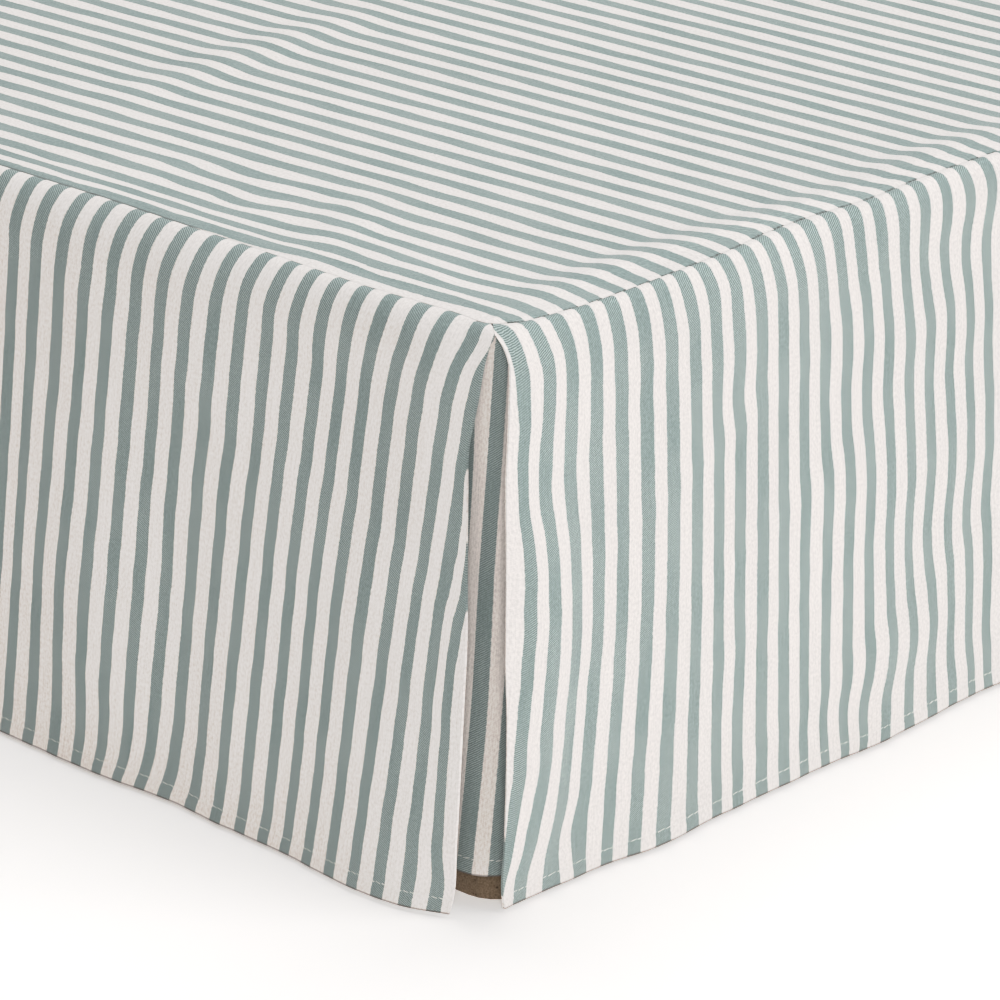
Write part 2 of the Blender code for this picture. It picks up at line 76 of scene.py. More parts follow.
BASE_LOW, BASE_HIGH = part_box("bed_base")
BASE_LENGTH = BASE_HIGH.x - BASE_LOW.x
BASE_WIDTH = BASE_HIGH.y - BASE_LOW.y
BASE_HEIGHT = BASE_HIGH.z
SEAM_HEIGHT = BASE_HEIGHT + SEWN_GAP + CLOTH
LONG_SPAN = BASE_LENGTH + STANDOFF
FOOT_SPAN = BASE_WIDTH + 2 * STANDOFF
FULL_DROP = SEAM_HEIGHT - HEM_HEIGHT
NEAR_CORNER = np.array((BASE_HIGH.x + STANDOFF, BASE_LOW.y - STANDOFF, 0.0))
FAR_CORNER = np.array((BASE_HIGH.x + STANDOFF, BASE_HIGH.y + STANDOFF, 0.0))

# The weave: one coloured and one cream stripe to a repeat. On a drop each coloured one is
# STRIPE_SPREAD wider than its row says
STRIPE_REPEAT = 0.022
TEAL_SHARE = 0.47
STRIPE_SPREAD = 0.0004

# Sewing: a hem is swollen cloth under a sunk line, and a seam dips, swells and puckers.
# From HEM_EASE above a hem the rows of its sheet lie HEM_ROW apart
HEM_DEPTH = 0.0088
HEM_EASE = 0.004
HEM_ROW = 0.0011
HEM_SWELL = 0.0005
HEM_INWARDS = 0.6
HEM_SLACK = 0.0004
HEM_SLACK_REACH = 0.012
STITCH_SINK = 0.0003
STITCH_BELOW = 0.0012
STITCH_REACH = 0.0011
SEAM_DIP = 0.0007
SEAM_DIP_REACH = 0.0022
SEAM_RIM_REACH = 0.0035
SEAM_SWELL = 0.0004
SEAM_SWELL_PLACE = 0.0075
SEAM_SWELL_REACH = 0.0045
PUCKER_REACH = 0.012
PUCKER_PITCH = 0.0105
PUCKER_RISE = 0.0004

# The top of a drop thins out at its ends, where it meets the next drop
JOINT_REACH = 0.0036
JOINT_THINNING = 0.8
JOINT_DEPTH = 0.004
JOINT_END = 0.01

Hang = namedtuple("Hang", "shoulder_out shoulder_drop hem_out")
Seam = namedtuple("Seam", "place near far")
FootSeam = namedtuple("FootSeam", "place out")
Fold = namedtuple("Fold", "place reach top middle low hem")
Split = namedtuple("Split", "depth place")
Tuck = namedtuple("Tuck", "depth out")
Ridge = namedtuple("Ridge", "from_foot from_side heading length reach height")
Stripe = namedtuple("Stripe", "seam hem seam_width hem_width")
Tug = namedtuple("Tug", "place depth reach fall shift")
InsertStripe = namedtuple("InsertStripe", "top upper middle lower hem")
Pull = namedtuple("Pull", "from_side shift")
Dent = namedtuple("Dent", "from_foot from_side foot_reach side_reach shift")
Crease = namedtuple("Crease", "place depth heading length reach height")
Lamp = namedtuple("Lamp", "name place size power")

# How far the seams wander outwards along the long sides, by distance from the foot
LONG_SEAMS = (
    Seam(0.035, 0, 0),
    Seam(0.055, -0.0026, -0.0018),
    Seam(0.085, -0.0014, 0.0006),
    Seam(0.13, 0.0012, 0.0022),
    Seam(0.18, 0.0008, 0.0008),
    Seam(0.24, -0.0004, -0.0016),
    Seam(0.3, -0.0002, -0.002),
    Seam(0.36, -0.0007, 0.0004),
    Seam(0.43, 0.0014, 0.0024),
    Seam(0.5, 0.0026, 0.0014),
    Seam(0.6, 0.0008, -0.0012),
    Seam(0.7, -0.0014, -0.0022),
    Seam(0.82, 0.0004, 0.001),
    Seam(0.94, 0.0022, 0.0024),
    Seam(1.06, 0.0006, 0.0002),
    Seam(1.18, -0.0018, -0.0014),
    Seam(1.3, -0.0006, 0.0012),
    Seam(1.42, 0.0018, 0.0022),
    Seam(1.54, 0.001, -0.0006),
    Seam(1.66, -0.0014, -0.002),
    Seam(1.78, 0.0002, 0.0008),
    Seam(1.87, 0.0008, 0.0002),
)

# The same across the foot, by distance from the near side
FOOT_SEAM = (
    FootSeam(0.035, 0.0006),
    FootSeam(0.055, 0.0034),
    FootSeam(0.085, 0.0068),
    FootSeam(0.13, 0.0072),
    FootSeam(0.18, 0.0056),
    FootSeam(0.22, 0.0038),
    FootSeam(0.265, -0.0018),
    FootSeam(0.31, -0.0016),
    FootSeam(0.355, 0.0018),
    FootSeam(0.4, -0.0008),
    FootSeam(0.46, -0.0006),
    FootSeam(0.53, 0.0012),
    FootSeam(0.6, 0.0032),
    FootSeam(0.67, 0.0004),
    FootSeam(0.74, -0.0018),
    FootSeam(0.81, 0.001),
    FootSeam(0.87, 0.0046),
    FootSeam(0.92, 0.0052),
    FootSeam(0.946, 0.003),
    FootSeam(0.966, 0.0004),
)

# Folds of the drops: each is a soft upright bump or, below zero, a trough
NEAR_FOLDS = (
    Fold(0.015, 0.05, -0.005, 0, 0, -0.01),
    Fold(0.085, 0.085, -0.004, 0.001, 0.006, 0.007),
    Fold(0.14, 0.08, -0.004, 0, -0.001, 0.002),
    Fold(0.27, 0.055, 0.003, -0.003, -0.006, -0.003),
    Fold(0.35, 0.055, 0.004, 0.005, 0.005, 0.001),
    Fold(0.455, 0.06, -0.003, -0.004, -0.004, -0.002),
    Fold(0.56, 0.07, 0.004, 0.006, 0.007, 0.005),
    Fold(0.675, 0.06, -0.002, -0.006, -0.008, -0.008),
    Fold(0.79, 0.08, 0.003, 0.005, 0.006, 0.008),
    Fold(0.93, 0.07, -0.004, -0.003, -0.005, -0.006),
    Fold(1.06, 0.075, 0.002, 0.006, 0.008, 0.007),
    Fold(1.19, 0.065, 0.001, -0.005, -0.007, -0.009),
    Fold(1.31, 0.08, -0.003, 0.003, 0.005, 0.008),
    Fold(1.45, 0.07, 0.004, -0.002, -0.006, -0.007),
    Fold(1.57, 0.07, -0.002, 0.006, 0.007, 0.006),
    Fold(1.7, 0.08, 0.002, -0.004, -0.006, -0.008),
    Fold(1.84, 0.08, -0.003, 0.002, 0.005, 0.007),
)
FAR_FOLDS = (
    Fold(0.015, 0.05, -0.001, 0.001, 0.002, -0.007),
    Fold(0.06, 0.065, -0.003, 0.002, 0.004, 0.006),
    Fold(0.15, 0.075, -0.004, -0.003, -0.004, -0.003),
    Fold(0.255, 0.065, 0.004, 0.004, 0.003, 0.005),
    Fold(0.37, 0.07, -0.002, -0.005, -0.006, -0.007),
    Fold(0.5, 0.075, 0.003, 0.006, 0.007, 0.009),
    Fold(0.63, 0.06, -0.004, -0.003, -0.005, -0.004),
    Fold(0.74, 0.065, 0.002, 0.004, 0.004, 0.003),
    Fold(0.865, 0.08, -0.001, -0.006, -0.008, -0.009),
    Fold(1.01, 0.075, 0.004, 0.005, 0.006, 0.008),
    Fold(1.14, 0.07, -0.003, -0.002, -0.004, -0.006),
    Fold(1.265, 0.065, 0.002, 0.005, 0.008, 0.008),
    Fold(1.39, 0.075, -0.002, -0.005, -0.006, -0.005),
    Fold(1.52, 0.07, 0.003, 0.003, 0.004, 0.006),
    Fold(1.65, 0.075, -0.004, -0.004, -0.007, -0.008),
    Fold(1.78, 0.07, 0.002, 0.006, 0.006, 0.007),
    Fold(1.88, 0.06, 0, -0.002, -0.003, -0.004),
)
FOOT_FOLDS = (
    Fold(0.028, 0.05, 0.003, 0.014, 0.009, -0.002),
    Fold(0.08, 0.11, 0.003, 0.008, 0.001, -0.002),
    Fold(0.15, 0.055, 0.003, 0.006, 0.006, 0.005),
    Fold(0.205, 0.065, 0.004, 0.004, 0.001, 0.001),
    Fold(0.325, 0.06, -0.006, 0, -0.001, -0.001),
    Fold(0.358, 0.045, 0, 0.003, 0.006, 0.002),
    Fold(0.4, 0.07, -0.007, -0.001, 0, 0),
    Fold(0.475, 0.09, -0.012, -0.006, -0.007, -0.005),
    Fold(0.58, 0.07, 0.003, 0.006, 0.006, 0.005),
    Fold(0.68, 0.06, -0.004, -0.004, -0.003, -0.003),
    Fold(0.775, 0.065, 0.004, 0.006, 0.007, 0.006),
    Fold(0.865, 0.06, -0.005, -0.004, -0.002, -0.002),
    Fold(0.93, 0.08, 0.002, 0.006, 0.002, -0.001),
    Fold(0.972, 0.05, 0.003, 0.01, 0.007, -0.001),
)

# The free edge of a drop at a split: its distance from the corner, by depth
LONG_SPLIT = (
    Split(0, 0.0306),
    Split(0.0004, 0.027),
    Split(0.0013, 0.0241),
    Split(0.0033, 0.0205),
    Split(0.009, 0.0213),
    Split(0.014, 0.0219),
    Split(0.03, 0.0216),
    Split(0.055, 0.0241),
    Split(0.075, 0.0264),
    Split(0.105, 0.0243),
    Split(0.14, 0.0211),
    Split(0.186, 0.0168),
    Split(0.23, 0.016),
    Split(0.285, 0.0161),
    Split(0.32, 0.0176),
    Split(0.35, 0.0212),
    Split(0.375, 0.0277),
)
FOOT_SPLIT = (
    Split(0, 0.0238),
    Split(0.0004, 0.021),
    Split(0.0013, 0.0188),
    Split(0.0033, 0.0159),
    Split(0.01, 0.0158),
    Split(0.02, 0.0148),
    Split(0.033, 0.0118),
    Split(0.062, 0.0071),
    Split(0.088, 0.0034),
    Split(0.13, 0.0015),
    Split(0.2, 0.0007),
    Split(0.235, 0.0022),
    Split(0.29, 0.0043),
    Split(0.33, 0.006),
    Split(0.355, 0.0086),
    Split(0.375, 0.0145),
)

# How the top of a drop is drawn in beside a split
LONG_TUCK = (
    Tuck(0, 0),
    Tuck(0.0004, -0.0012),
    Tuck(0.0013, -0.0022),
    Tuck(0.0033, -0.0035),
    Tuck(0.007, -0.0056),
    Tuck(0.014, -0.0068),
    Tuck(0.03, -0.0046),
    Tuck(0.055, -0.001),
    Tuck(0.08, 0),
)
FOOT_TUCK = (
    Tuck(0, 0),
    Tuck(0.0004, -0.0009),
    Tuck(0.0013, -0.0016),
    Tuck(0.0033, -0.0026),
    Tuck(0.007, -0.0029),
    Tuck(0.016, -0.004),
    Tuck(0.03, -0.0052),
    Tuck(0.056, -0.003),
    Tuck(0.098, -0.0006),
    Tuck(0.12, 0),
)

# Low ridges that lift the deck off the base; a heading of 0 runs across the bed
DECK_RIDGES = (
    Ridge(0.04, 0.16, 0, 0.15, 0.028, 0.0048),
    Ridge(0.036, 0.3, -2, 0.13, 0.024, 0.0034),
    Ridge(0.042, 0.45, 2, 0.13, 0.028, 0.0038),
    Ridge(0.038, 0.64, -1, 0.16, 0.026, 0.0036),
    Ridge(0.042, 0.83, 1, 0.15, 0.028, 0.0044),
    Ridge(0.12, 0.052, 84, 0.11, 0.032, 0.0034),
    Ridge(0.215, 0.085, 22, 0.08, 0.036, 0.0026),
    Ridge(0.15, 0.945, 92, 0.12, 0.034, 0.003),
    Ridge(0.29, 0.9, -26, 0.09, 0.04, 0.0026),
    Ridge(0.514, 0.3, 5, 0.19, 0.036, 0.003),
    Ridge(0.6, 0.8, -12, 0.15, 0.04, 0.0026),
    Ridge(0.78, 0.08, 18, 0.09, 0.05, 0.0022),
    Ridge(1.18, 0.125, 12, 0.15, 0.055, 0.0026),
    Ridge(1.3, 0.875, -16, 0.15, 0.055, 0.0024),
    Ridge(1.72, 0.14, -10, 0.15, 0.055, 0.0022),
)
DECK_FADE = 0.016

# The coloured stripes of a drop: where their middles cross its seam and its hem, and
# how wide they are there
NEAR_STRIPES = (
    Stripe(-0.022, -0.008, 0.0095, 0.009),
    Stripe(-0.003, 0.013, 0.0095, 0.009),
    Stripe(0.017, 0.034, 0.004, 0.0085),
    Stripe(0.023, 0.0538, 0.0076, 0.0095),
    Stripe(0.04, 0.076, 0.0085, 0.009),
    Stripe(0.062, 0.097, 0.0105, 0.0085),
    Stripe(0.084, 0.119, 0.0105, 0.009),
    Stripe(0.107, 0.141, 0.01, 0.0085),
    Stripe(0.128, 0.162, 0.0095, 0.008),
    Stripe(0.148, 0.182, 0.0095, 0.0085),
    Stripe(0.169, 0.203, 0.0095, 0.009),
    Stripe(0.19, 0.225, 0.01, 0.009),
    Stripe(0.212, 0.249, 0.01, 0.01),
    Stripe(0.234, 0.274, 0.01, 0.0105),
    Stripe(0.257, 0.295, 0.0105, 0.0085),
    Stripe(0.281, 0.314, 0.011, 0.0075),
    Stripe(0.305, 0.333, 0.011, 0.008),
    Stripe(0.327, 0.353, 0.0095, 0.009),
    Stripe(0.349, 0.377, 0.0105, 0.0105),
    Stripe(0.374, 0.402, 0.0115, 0.01),
    Stripe(0.399, 0.425, 0.011, 0.0095),
    Stripe(0.421, 0.446, 0.0105, 0.0095),
)
FOOT_STRIPES = (
    Stripe(-0.022, -0.034, 0.01, 0.01),
    Stripe(-0.002, -0.014, 0.01, 0.01),
    Stripe(0.022, 0.007, 0.0085, 0.0065),
    Stripe(0.039, 0.024, 0.01, 0.012),
    Stripe(0.058, 0.056, 0.0115, 0.0165),
    Stripe(0.081, 0.081, 0.0115, 0.0115),
    Stripe(0.103, 0.105, 0.0125, 0.0095),
    Stripe(0.125, 0.127, 0.012, 0.01),
    Stripe(0.147, 0.151, 0.0115, 0.0135),
    Stripe(0.167, 0.18, 0.0105, 0.013),
    Stripe(0.186, 0.206, 0.011, 0.0095),
    Stripe(0.207, 0.226, 0.012, 0.0105),
    Stripe(0.229, 0.25, 0.012, 0.0115),
    Stripe(0.251, 0.272, 0.011, 0.011),
    Stripe(0.272, 0.292, 0.0105, 0.009),
    Stripe(0.295, 0.313, 0.012, 0.008),
    Stripe(0.317, 0.332, 0.011, 0.0075),
    Stripe(0.337, 0.349, 0.01, 0.0075),
    Stripe(0.356, 0.371, 0.01, 0.01),
    Stripe(0.377, 0.397, 0.011, 0.01),
    Stripe(0.398, 0.421, 0.0105, 0.01),
    Stripe(0.42, 0.444, 0.0095, 0.0095),
    Stripe(0.442, 0.466, 0.0095, 0.0085),
    Stripe(0.464, 0.484, 0.01, 0.0085),
)
# Past the last of those rows the stripes are even ones, and their lean eases off
LEAN_FADE = 0.45
PLAIN_WIDTH = 0.0098
SEAM_STRAY = 0.0012
HEM_STRAY = 0.002
PAST_END = 0.08

# Where the cloth of a drop is tugged sideways, so that its stripes bend
NEAR_TUGS = (
    Tug(0.072, 0.015, 0.095, 0.036, -0.0055),
    Tug(0.095, 0.08, 0.06, 0.075, 0.0025),
    Tug(0.045, 0.2, 0.045, 0.09, 0.002),
    Tug(0.34, 0.338, 0.11, 0.04, -0.0022),
    Tug(0.29, 0.385, 0.16, 0.034, 0.0042),
    Tug(0.37, 0.105, 0.05, 0.06, -0.0023),
    Tug(0.375, 0.25, 0.05, 0.07, 0.003),
    Tug(0.285, 0.18, 0.05, 0.06, 0.002),
    Tug(0.35, 0.004, 0.03, 0.03, 0.003),
    Tug(0.034, 0.38, 0.035, 0.03, 0.0035),
    Tug(0.225, 0.118, 0.06, 0.03, -0.0015),
    Tug(0.024, 0.003, 0.032, 0.026, -0.0046),
    Tug(0.02, 0.15, 0.017, 0.08, -0.0048),
)
FOOT_TUGS = (
    Tug(0.04, 0.03, 0.055, 0.045, 0.0028),
    Tug(0.045, 0.105, 0.06, 0.05, -0.0036),
    Tug(0.06, 0.205, 0.045, 0.05, 0.002),
    Tug(0.03, 0.285, 0.028, 0.045, 0.003),
    Tug(0.062, 0.342, 0.036, 0.034, -0.0055),
    Tug(0.026, 0.382, 0.024, 0.034, 0.0045),
    Tug(0.322, 0.02, 0.085, 0.038, -0.0065),
    Tug(0.4, 0.034, 0.055, 0.034, -0.004),
    Tug(0.335, 0.085, 0.07, 0.042, 0.004),
    Tug(0.425, 0.098, 0.09, 0.042, 0.006),
    Tug(0.425, 0.24, 0.105, 0.048, -0.0055),
    Tug(0.395, 0.308, 0.075, 0.032, 0.0045),
    Tug(0.345, 0.343, 0.08, 0.026, -0.0028),
    Tug(0.445, 0.36, 0.05, 0.04, 0.0027),
    Tug(0.21, 0.088, 0.045, 0.028, -0.0024),
    Tug(0.195, 0.012, 0.035, 0.022, 0.0028),
    Tug(0.218, 0.27, 0.03, 0.045, 0.002),
    Tug(0.32, 0.18, 0.09, 0.04, 0.002),
    Tug(0.016, 0.034, 0.022, 0.03, -0.0018),
    Tug(0.018, 0.09, 0.036, 0.048, -0.0027),
)
# Past its tugs a drop only strays, and all of it wobbles a little
TUG_REST = 0.0014
TUGS_END = (0.42, 0.52)
STRIPE_WOBBLE = 0.0005

# Creases pressed or pulled into the drops; a heading of 0 runs down
NEAR_CREASES = (
    Crease(0.205, 0.11, 6, 0.12, 0.016, -0.0012),
    Crease(0.11, 0.2, 8, 0.15, 0.018, 0.001),
    Crease(0.305, 0.24, -4, 0.12, 0.016, 0.001),
    Crease(0.42, 0.16, 5, 0.14, 0.018, -0.001),
)
FOOT_CREASES = (
    Crease(0.12, 0.12, -6, 0.11, 0.016, -0.001),
    Crease(0.245, 0.2, 4, 0.14, 0.018, 0.001),
    Crease(0.3, 0.095, 8, 0.08, 0.014, -0.001),
    Crease(0.43, 0.23, -3, 0.13, 0.018, 0.0011),
)
FAR_CREASES = (
    Crease(0.18, 0.14, -5, 0.13, 0.018, -0.001),
    Crease(0.52, 0.22, 4, 0.14, 0.02, 0.001),
)

# An insert's coloured stripes: where their middles lie along it, from its top to its hem
INSERT_DEPTHS = (0.0, 0.08, 0.15, 0.25, 0.355)
INSERT_STRIPES = (
    InsertStripe(-0.039, -0.04, -0.043, -0.05, -0.06),
    InsertStripe(-0.018, -0.019, -0.022, -0.028, -0.038),
    InsertStripe(0.004, 0.0035, 0, -0.006, -0.016),
    InsertStripe(0.025, 0.021, 0.0172, 0.0131, 0.0045),
    InsertStripe(0.044, 0.04, 0.0365, 0.032, 0.026),
    InsertStripe(0.066, 0.062, 0.058, 0.053, 0.047),
    InsertStripe(0.087, 0.083, 0.079, 0.074, 0.068),
    InsertStripe(0.108, 0.104, 0.1, 0.095, 0.089),
)
INSERT_WIDTHS = (0.0086, 0.0088, 0.0092, 0.0105, 0.0118)

# The deck's stripes, and where they are pulled from straight beside its seams
DECK_STRIPE_START = 0.02825
DECK_STRIPE_PITCH = 0.0215
DECK_STRIPE_LEAN = 0.0425
DECK_STRIPE_SHARE = 0.545
NEAR_PULLS = (
    Pull(0.018, 0.0095),
    Pull(0.028, 0.009),
    Pull(0.035, 0.0065),
    Pull(0.042, 0.002),
    Pull(0.05, -0.0006),
    Pull(0.062, -0.0008),
    Pull(0.074, 0),
)
FOOT_PULLS = (
    Pull(0.03, 0),
    Pull(0.07, 0.002),
    Pull(0.095, 0.003),
    Pull(0.115, 0.005),
    Pull(0.135, 0.0035),
    Pull(0.16, 0.0048),
    Pull(0.2, 0.007),
    Pull(0.228, 0.0073),
    Pull(0.25, 0.0098),
    Pull(0.27, 0.0106),
    Pull(0.31, 0.0072),
    Pull(0.34, 0.006),
    Pull(0.375, 0.0066),
    Pull(0.398, 0.0078),
    Pull(0.425, 0.006),
    Pull(0.46, 0.0038),
    Pull(0.49, 0.002),
    Pull(0.56, 0.005),
    Pull(0.64, 0.002),
    Pull(0.76, 0.008),
    Pull(0.86, 0.003),
    Pull(0.95, 0),
)
# How the pull of the foot seam eases off, and how the stripes stray and swell
FOOT_PULL_START = 0.024
FOOT_PULL_END = 0.043
FOOT_PULL_SOONER = 0.006
SOONER_FROM = (0.24, 0.3)
FOOT_BACK = 0.27
FOOT_BACK_REACH = 0.016
DECK_STRIPE_STRAY = 0.05
SQUEEZE = (0.6, 1.7)
SWELLING = 0.2
SWELLING_REACH = 0.11
DECK_DENTS = (
    Dent(0.045, 0.066, 0.055, 0.055, 0.008),
    Dent(0.18, 0.046, 0.045, 0.055, 0.0055),
    Dent(0.243, 0.1, 0.018, 0.06, 0.0022),
    Dent(0.218, 0.1, 0.014, 0.05, -0.0014),
    Dent(0.292, 0.078, 0.036, 0.04, -0.0062),
    Dent(0.33, 0.102, 0.06, 0.06, -0.0052),
    Dent(0.115, 0.15, 0.06, 0.08, -0.0018),
    Dent(0.25, 0.145, 0.04, 0.04, 0.0018),
    Dent(0.36, 0.036, 0.06, 0.022, 0.0032),
)

# The camera: a pinhole view of the near foot corner
CAMERA_HEADING = 46.5
CAMERA_TILT = 21.75
CAMERA_ROLL = 0.25
CAMERA_DISTANCE = 3.5
PICTURE_SIZE = 1000
FOCAL_PIXELS = 5960
SENSOR = 36.0
CORNER_PIXEL = (501, 344)
CORNER_HEIGHT = 0.378

# The film: how brightly each light shows, up to the light that shows as white
FILM_WHITE = 1.5
FILM_CURVE = (
    (0.28, 0.25),
    (0.475, 0.45),
    (0.65, 0.63),
    (0.9, 0.75),
    (1.1, 0.83),
)

# The lights, placed from the near foot corner
LAMPS = (
    Lamp("right_light", (3.4, 1.6, 2.6), 2.6, 111),
    Lamp("front_light", (2.85, -2.75, 2.2), 0.9, 84),
    Lamp("top_light", (-0.6, 0.6, 3.6), 3.0, 124),
)
LIT_PLACE = (-0.3, 0.3, 0.25)
SKY_LIGHT = 0.07
FLOOR_GLOW = 0.39


# --- Curves ---
def smooth(rows, x):
    """The values at x of one smooth curve through rows of (x, value)."""
    xs, ys = (np.array(values, float) for values in zip(*rows))
    x = np.clip(x, xs[0], xs[-1])
    last = len(xs) - 1
    before = np.maximum(np.arange(last + 1) - 1, 0)
    after = np.minimum(np.arange(last + 1) + 1, last)
    slopes = (ys[after] - ys[before]) / (xs[after] - xs[before])
    i = np.clip(np.searchsorted(xs, x) - 1, 0, last - 1)
    width = xs[i + 1] - xs[i]
    t = (x - xs[i]) / width
    start = (1 + 2 * t) * (1 - t) ** 2 * ys[i] + t * (1 - t) ** 2 * width * slopes[i]
    end = t * t * (3 - 2 * t) * ys[i + 1] + t * t * (t - 1) * width * slopes[i + 1]
    return start + end


def bump(offset, reach):
    """A round-topped bump of height 1 that ends at reach on both sides."""
    near = np.minimum(np.abs(offset) / reach, 1.0)
    return 0.5 + 0.5 * np.cos(np.pi * near)


def ramp(x, start, end):
    """An eased step from 0 at start to 1 at end."""
    t = np.clip((x - start) / (end - start), 0.0, 1.0)
    return t * t * (3 - 2 * t)


def ridge_height(ridges, x, y):
    """The height of long soft ridges, each turned by its heading from the y direction."""
    total = np.zeros(x.shape)
    for middle_x, middle_y, heading, length, reach, height in ridges:
        turn = math.radians(heading)
        dx, dy = x - middle_x, y - middle_y
        along = dx * math.sin(turn) + dy * math.cos(turn)
        across = dx * math.cos(turn) - dy * math.sin(turn)
        total += height * bump(along, length) * bump(across, reach)
    return total


def wander(place, seed):
    """A slow, even-handed wobble between about -1 and 1."""
    return (
        np.sin(place * 61.0 + seed * 1.7)
        + np.sin(place * 97.0 + seed * 3.1 + 1.0)
        + np.sin(place * 23.0 + seed * 0.6 + 2.0)
    ) / 3.0


def steps(*stretches):
    """Places from stretch to stretch, each of them (start, end, step)."""
    places = []
    for start, end, step in stretches:
        count = max(int(round((end - start) / step)), 1)
        places.extend(start + (end - start) * i / count for i in range(count))
    places.append(stretches[-1][1])
    return np.array(places)


# --- The sides of the skirt ---
def corner_rounding(beyond):
    """How far the seam draws in where it turns round a foot corner."""
    beyond = np.clip(beyond, 0.0, SEAM_CORNER_RADIUS)
    return SEAM_CORNER_RADIUS - np.sqrt(SEAM_CORNER_RADIUS**2 - beyond**2)


class Side:
    """One side of the bed: its hanging plane, its seam and the way its drop hangs."""

    def __init__(self, corner, along, out, span, seam, hang, folds, splits, tuck, head_inset):
        self.corner = np.array(corner, float)
        self.along = np.array(along, float)
        self.out = np.array(out, float)
        self.span = span
        self.seam = seam
        self.hang = hang
        self.folds = folds
        self.start_split, self.end_split = splits
        self.tuck = tuck
        self.start = self.start_split[0].place
        self.end = span - (self.end_split[0].place if self.end_split else head_inset)

    def at(self, place, out, height):
        """Points on or off the hanging plane."""
        points = self.corner + place[..., None] * self.along + out[..., None] * self.out
        points[..., 2] = height
        return points

    def seam_out(self, place):
        """How far the seam stands outside the hanging plane."""
        drawn_in = corner_rounding(ROUND_CENTRE - place)
        if self.end_split:
            drawn_in += corner_rounding(ROUND_CENTRE - (self.span - place))
        return smooth(self.seam, place) - SEAM_INSET - drawn_in

    def fold_out(self, moved, depth):
        """How far the folds stand out."""
        total = np.zeros(np.broadcast(moved, depth).shape)
        for fold in self.folds:
            rows = zip(FOLD_DEPTHS, (0.0, fold.top, fold.middle, fold.low, fold.hem))
            total += bump(moved - fold.place, fold.reach) * smooth(rows, depth)
        return total

    def hang_out(self, place, moved, depth):
        """How far the cloth stands outside the hanging plane."""
        hang = self.hang
        turn = np.arccos(np.clip(1 - depth / hang.shoulder_drop, 0.0, 1.0))
        seam_out = self.seam_out(place)
        shoulder = seam_out + (hang.shoulder_out - seam_out) * np.sin(turn)
        fall = (depth - hang.shoulder_drop) / (FULL_DROP - hang.shoulder_drop)
        straight = hang.shoulder_out + (hang.hem_out - hang.shoulder_out) * fall
        out = np.where(depth < hang.shoulder_drop, shoulder, straight)
        return out + self.fold_out(moved, depth) + self.tuck_out(place, depth)

    def tuck_out(self, place, depth):
        """How far a drop is drawn in at the top of a split."""
        beside = bump(place - self.start, TUCK_REACH)
        if self.end_split:
            beside += bump(self.end - place, TUCK_REACH)
        return smooth(self.tuck, depth) * beside

    def split_shift(self, place, depth):
        """How far the cloth beside a split moves along the side to follow its edge."""
        edge = smooth(self.start_split, depth) - self.start
        shift = edge * np.clip(1 - (place - self.start) / SPLIT_FADE, 0.0, 1.0)
        if self.end_split:
            edge = smooth(self.end_split, depth) - self.end_split[0].place
            shift -= edge * np.clip(1 - (self.end - place) / SPLIT_FADE, 0.0, 1.0)
        return shift


def long_side(corner, out, seam, hem_out, folds):
    """A long side, split at the foot and open at the head."""
    return Side(
        corner,
        (-1, 0, 0),
        out,
        LONG_SPAN,
        [(LONG_START, 0.0)] + seam,
        Hang(0.004, 0.038, hem_out),
        folds,
        (LONG_SPLIT, None),
        LONG_TUCK,
        DROP_HEAD_INSET,
    )


NEAR_SEAM = [(row.place, row.near) for row in LONG_SEAMS]
FAR_SEAM = [(row.place, row.far) for row in LONG_SEAMS]
NEAR = long_side(NEAR_CORNER, (0, -1, 0), NEAR_SEAM, 0.022, NEAR_FOLDS)
FAR = long_side(FAR_CORNER, (0, 1, 0), FAR_SEAM, 0.02, FAR_FOLDS)
FOOT = Side(
    NEAR_CORNER,
    (0, 1, 0),
    (1, 0, 0),
    FOOT_SPAN,
    [(FOOT_START, 0.0), *FOOT_SEAM, (FOOT_SPAN - FOOT_START, 0.0)],
    Hang(0.0, 0.036, -0.006),
    FOOT_FOLDS,
    (FOOT_SPLIT, FOOT_SPLIT),
    FOOT_TUCK,
    0.0,
)


# --- Sheets of cloth ---
def grid_normals(grid):
    """The unit normals of a grid of points, columns first."""
    across = np.gradient(grid, axis=0)
    down = np.gradient(grid, axis=1)
    normals = np.cross(across, down)
    return normals / np.linalg.norm(normals, axis=-1, keepdims=True)


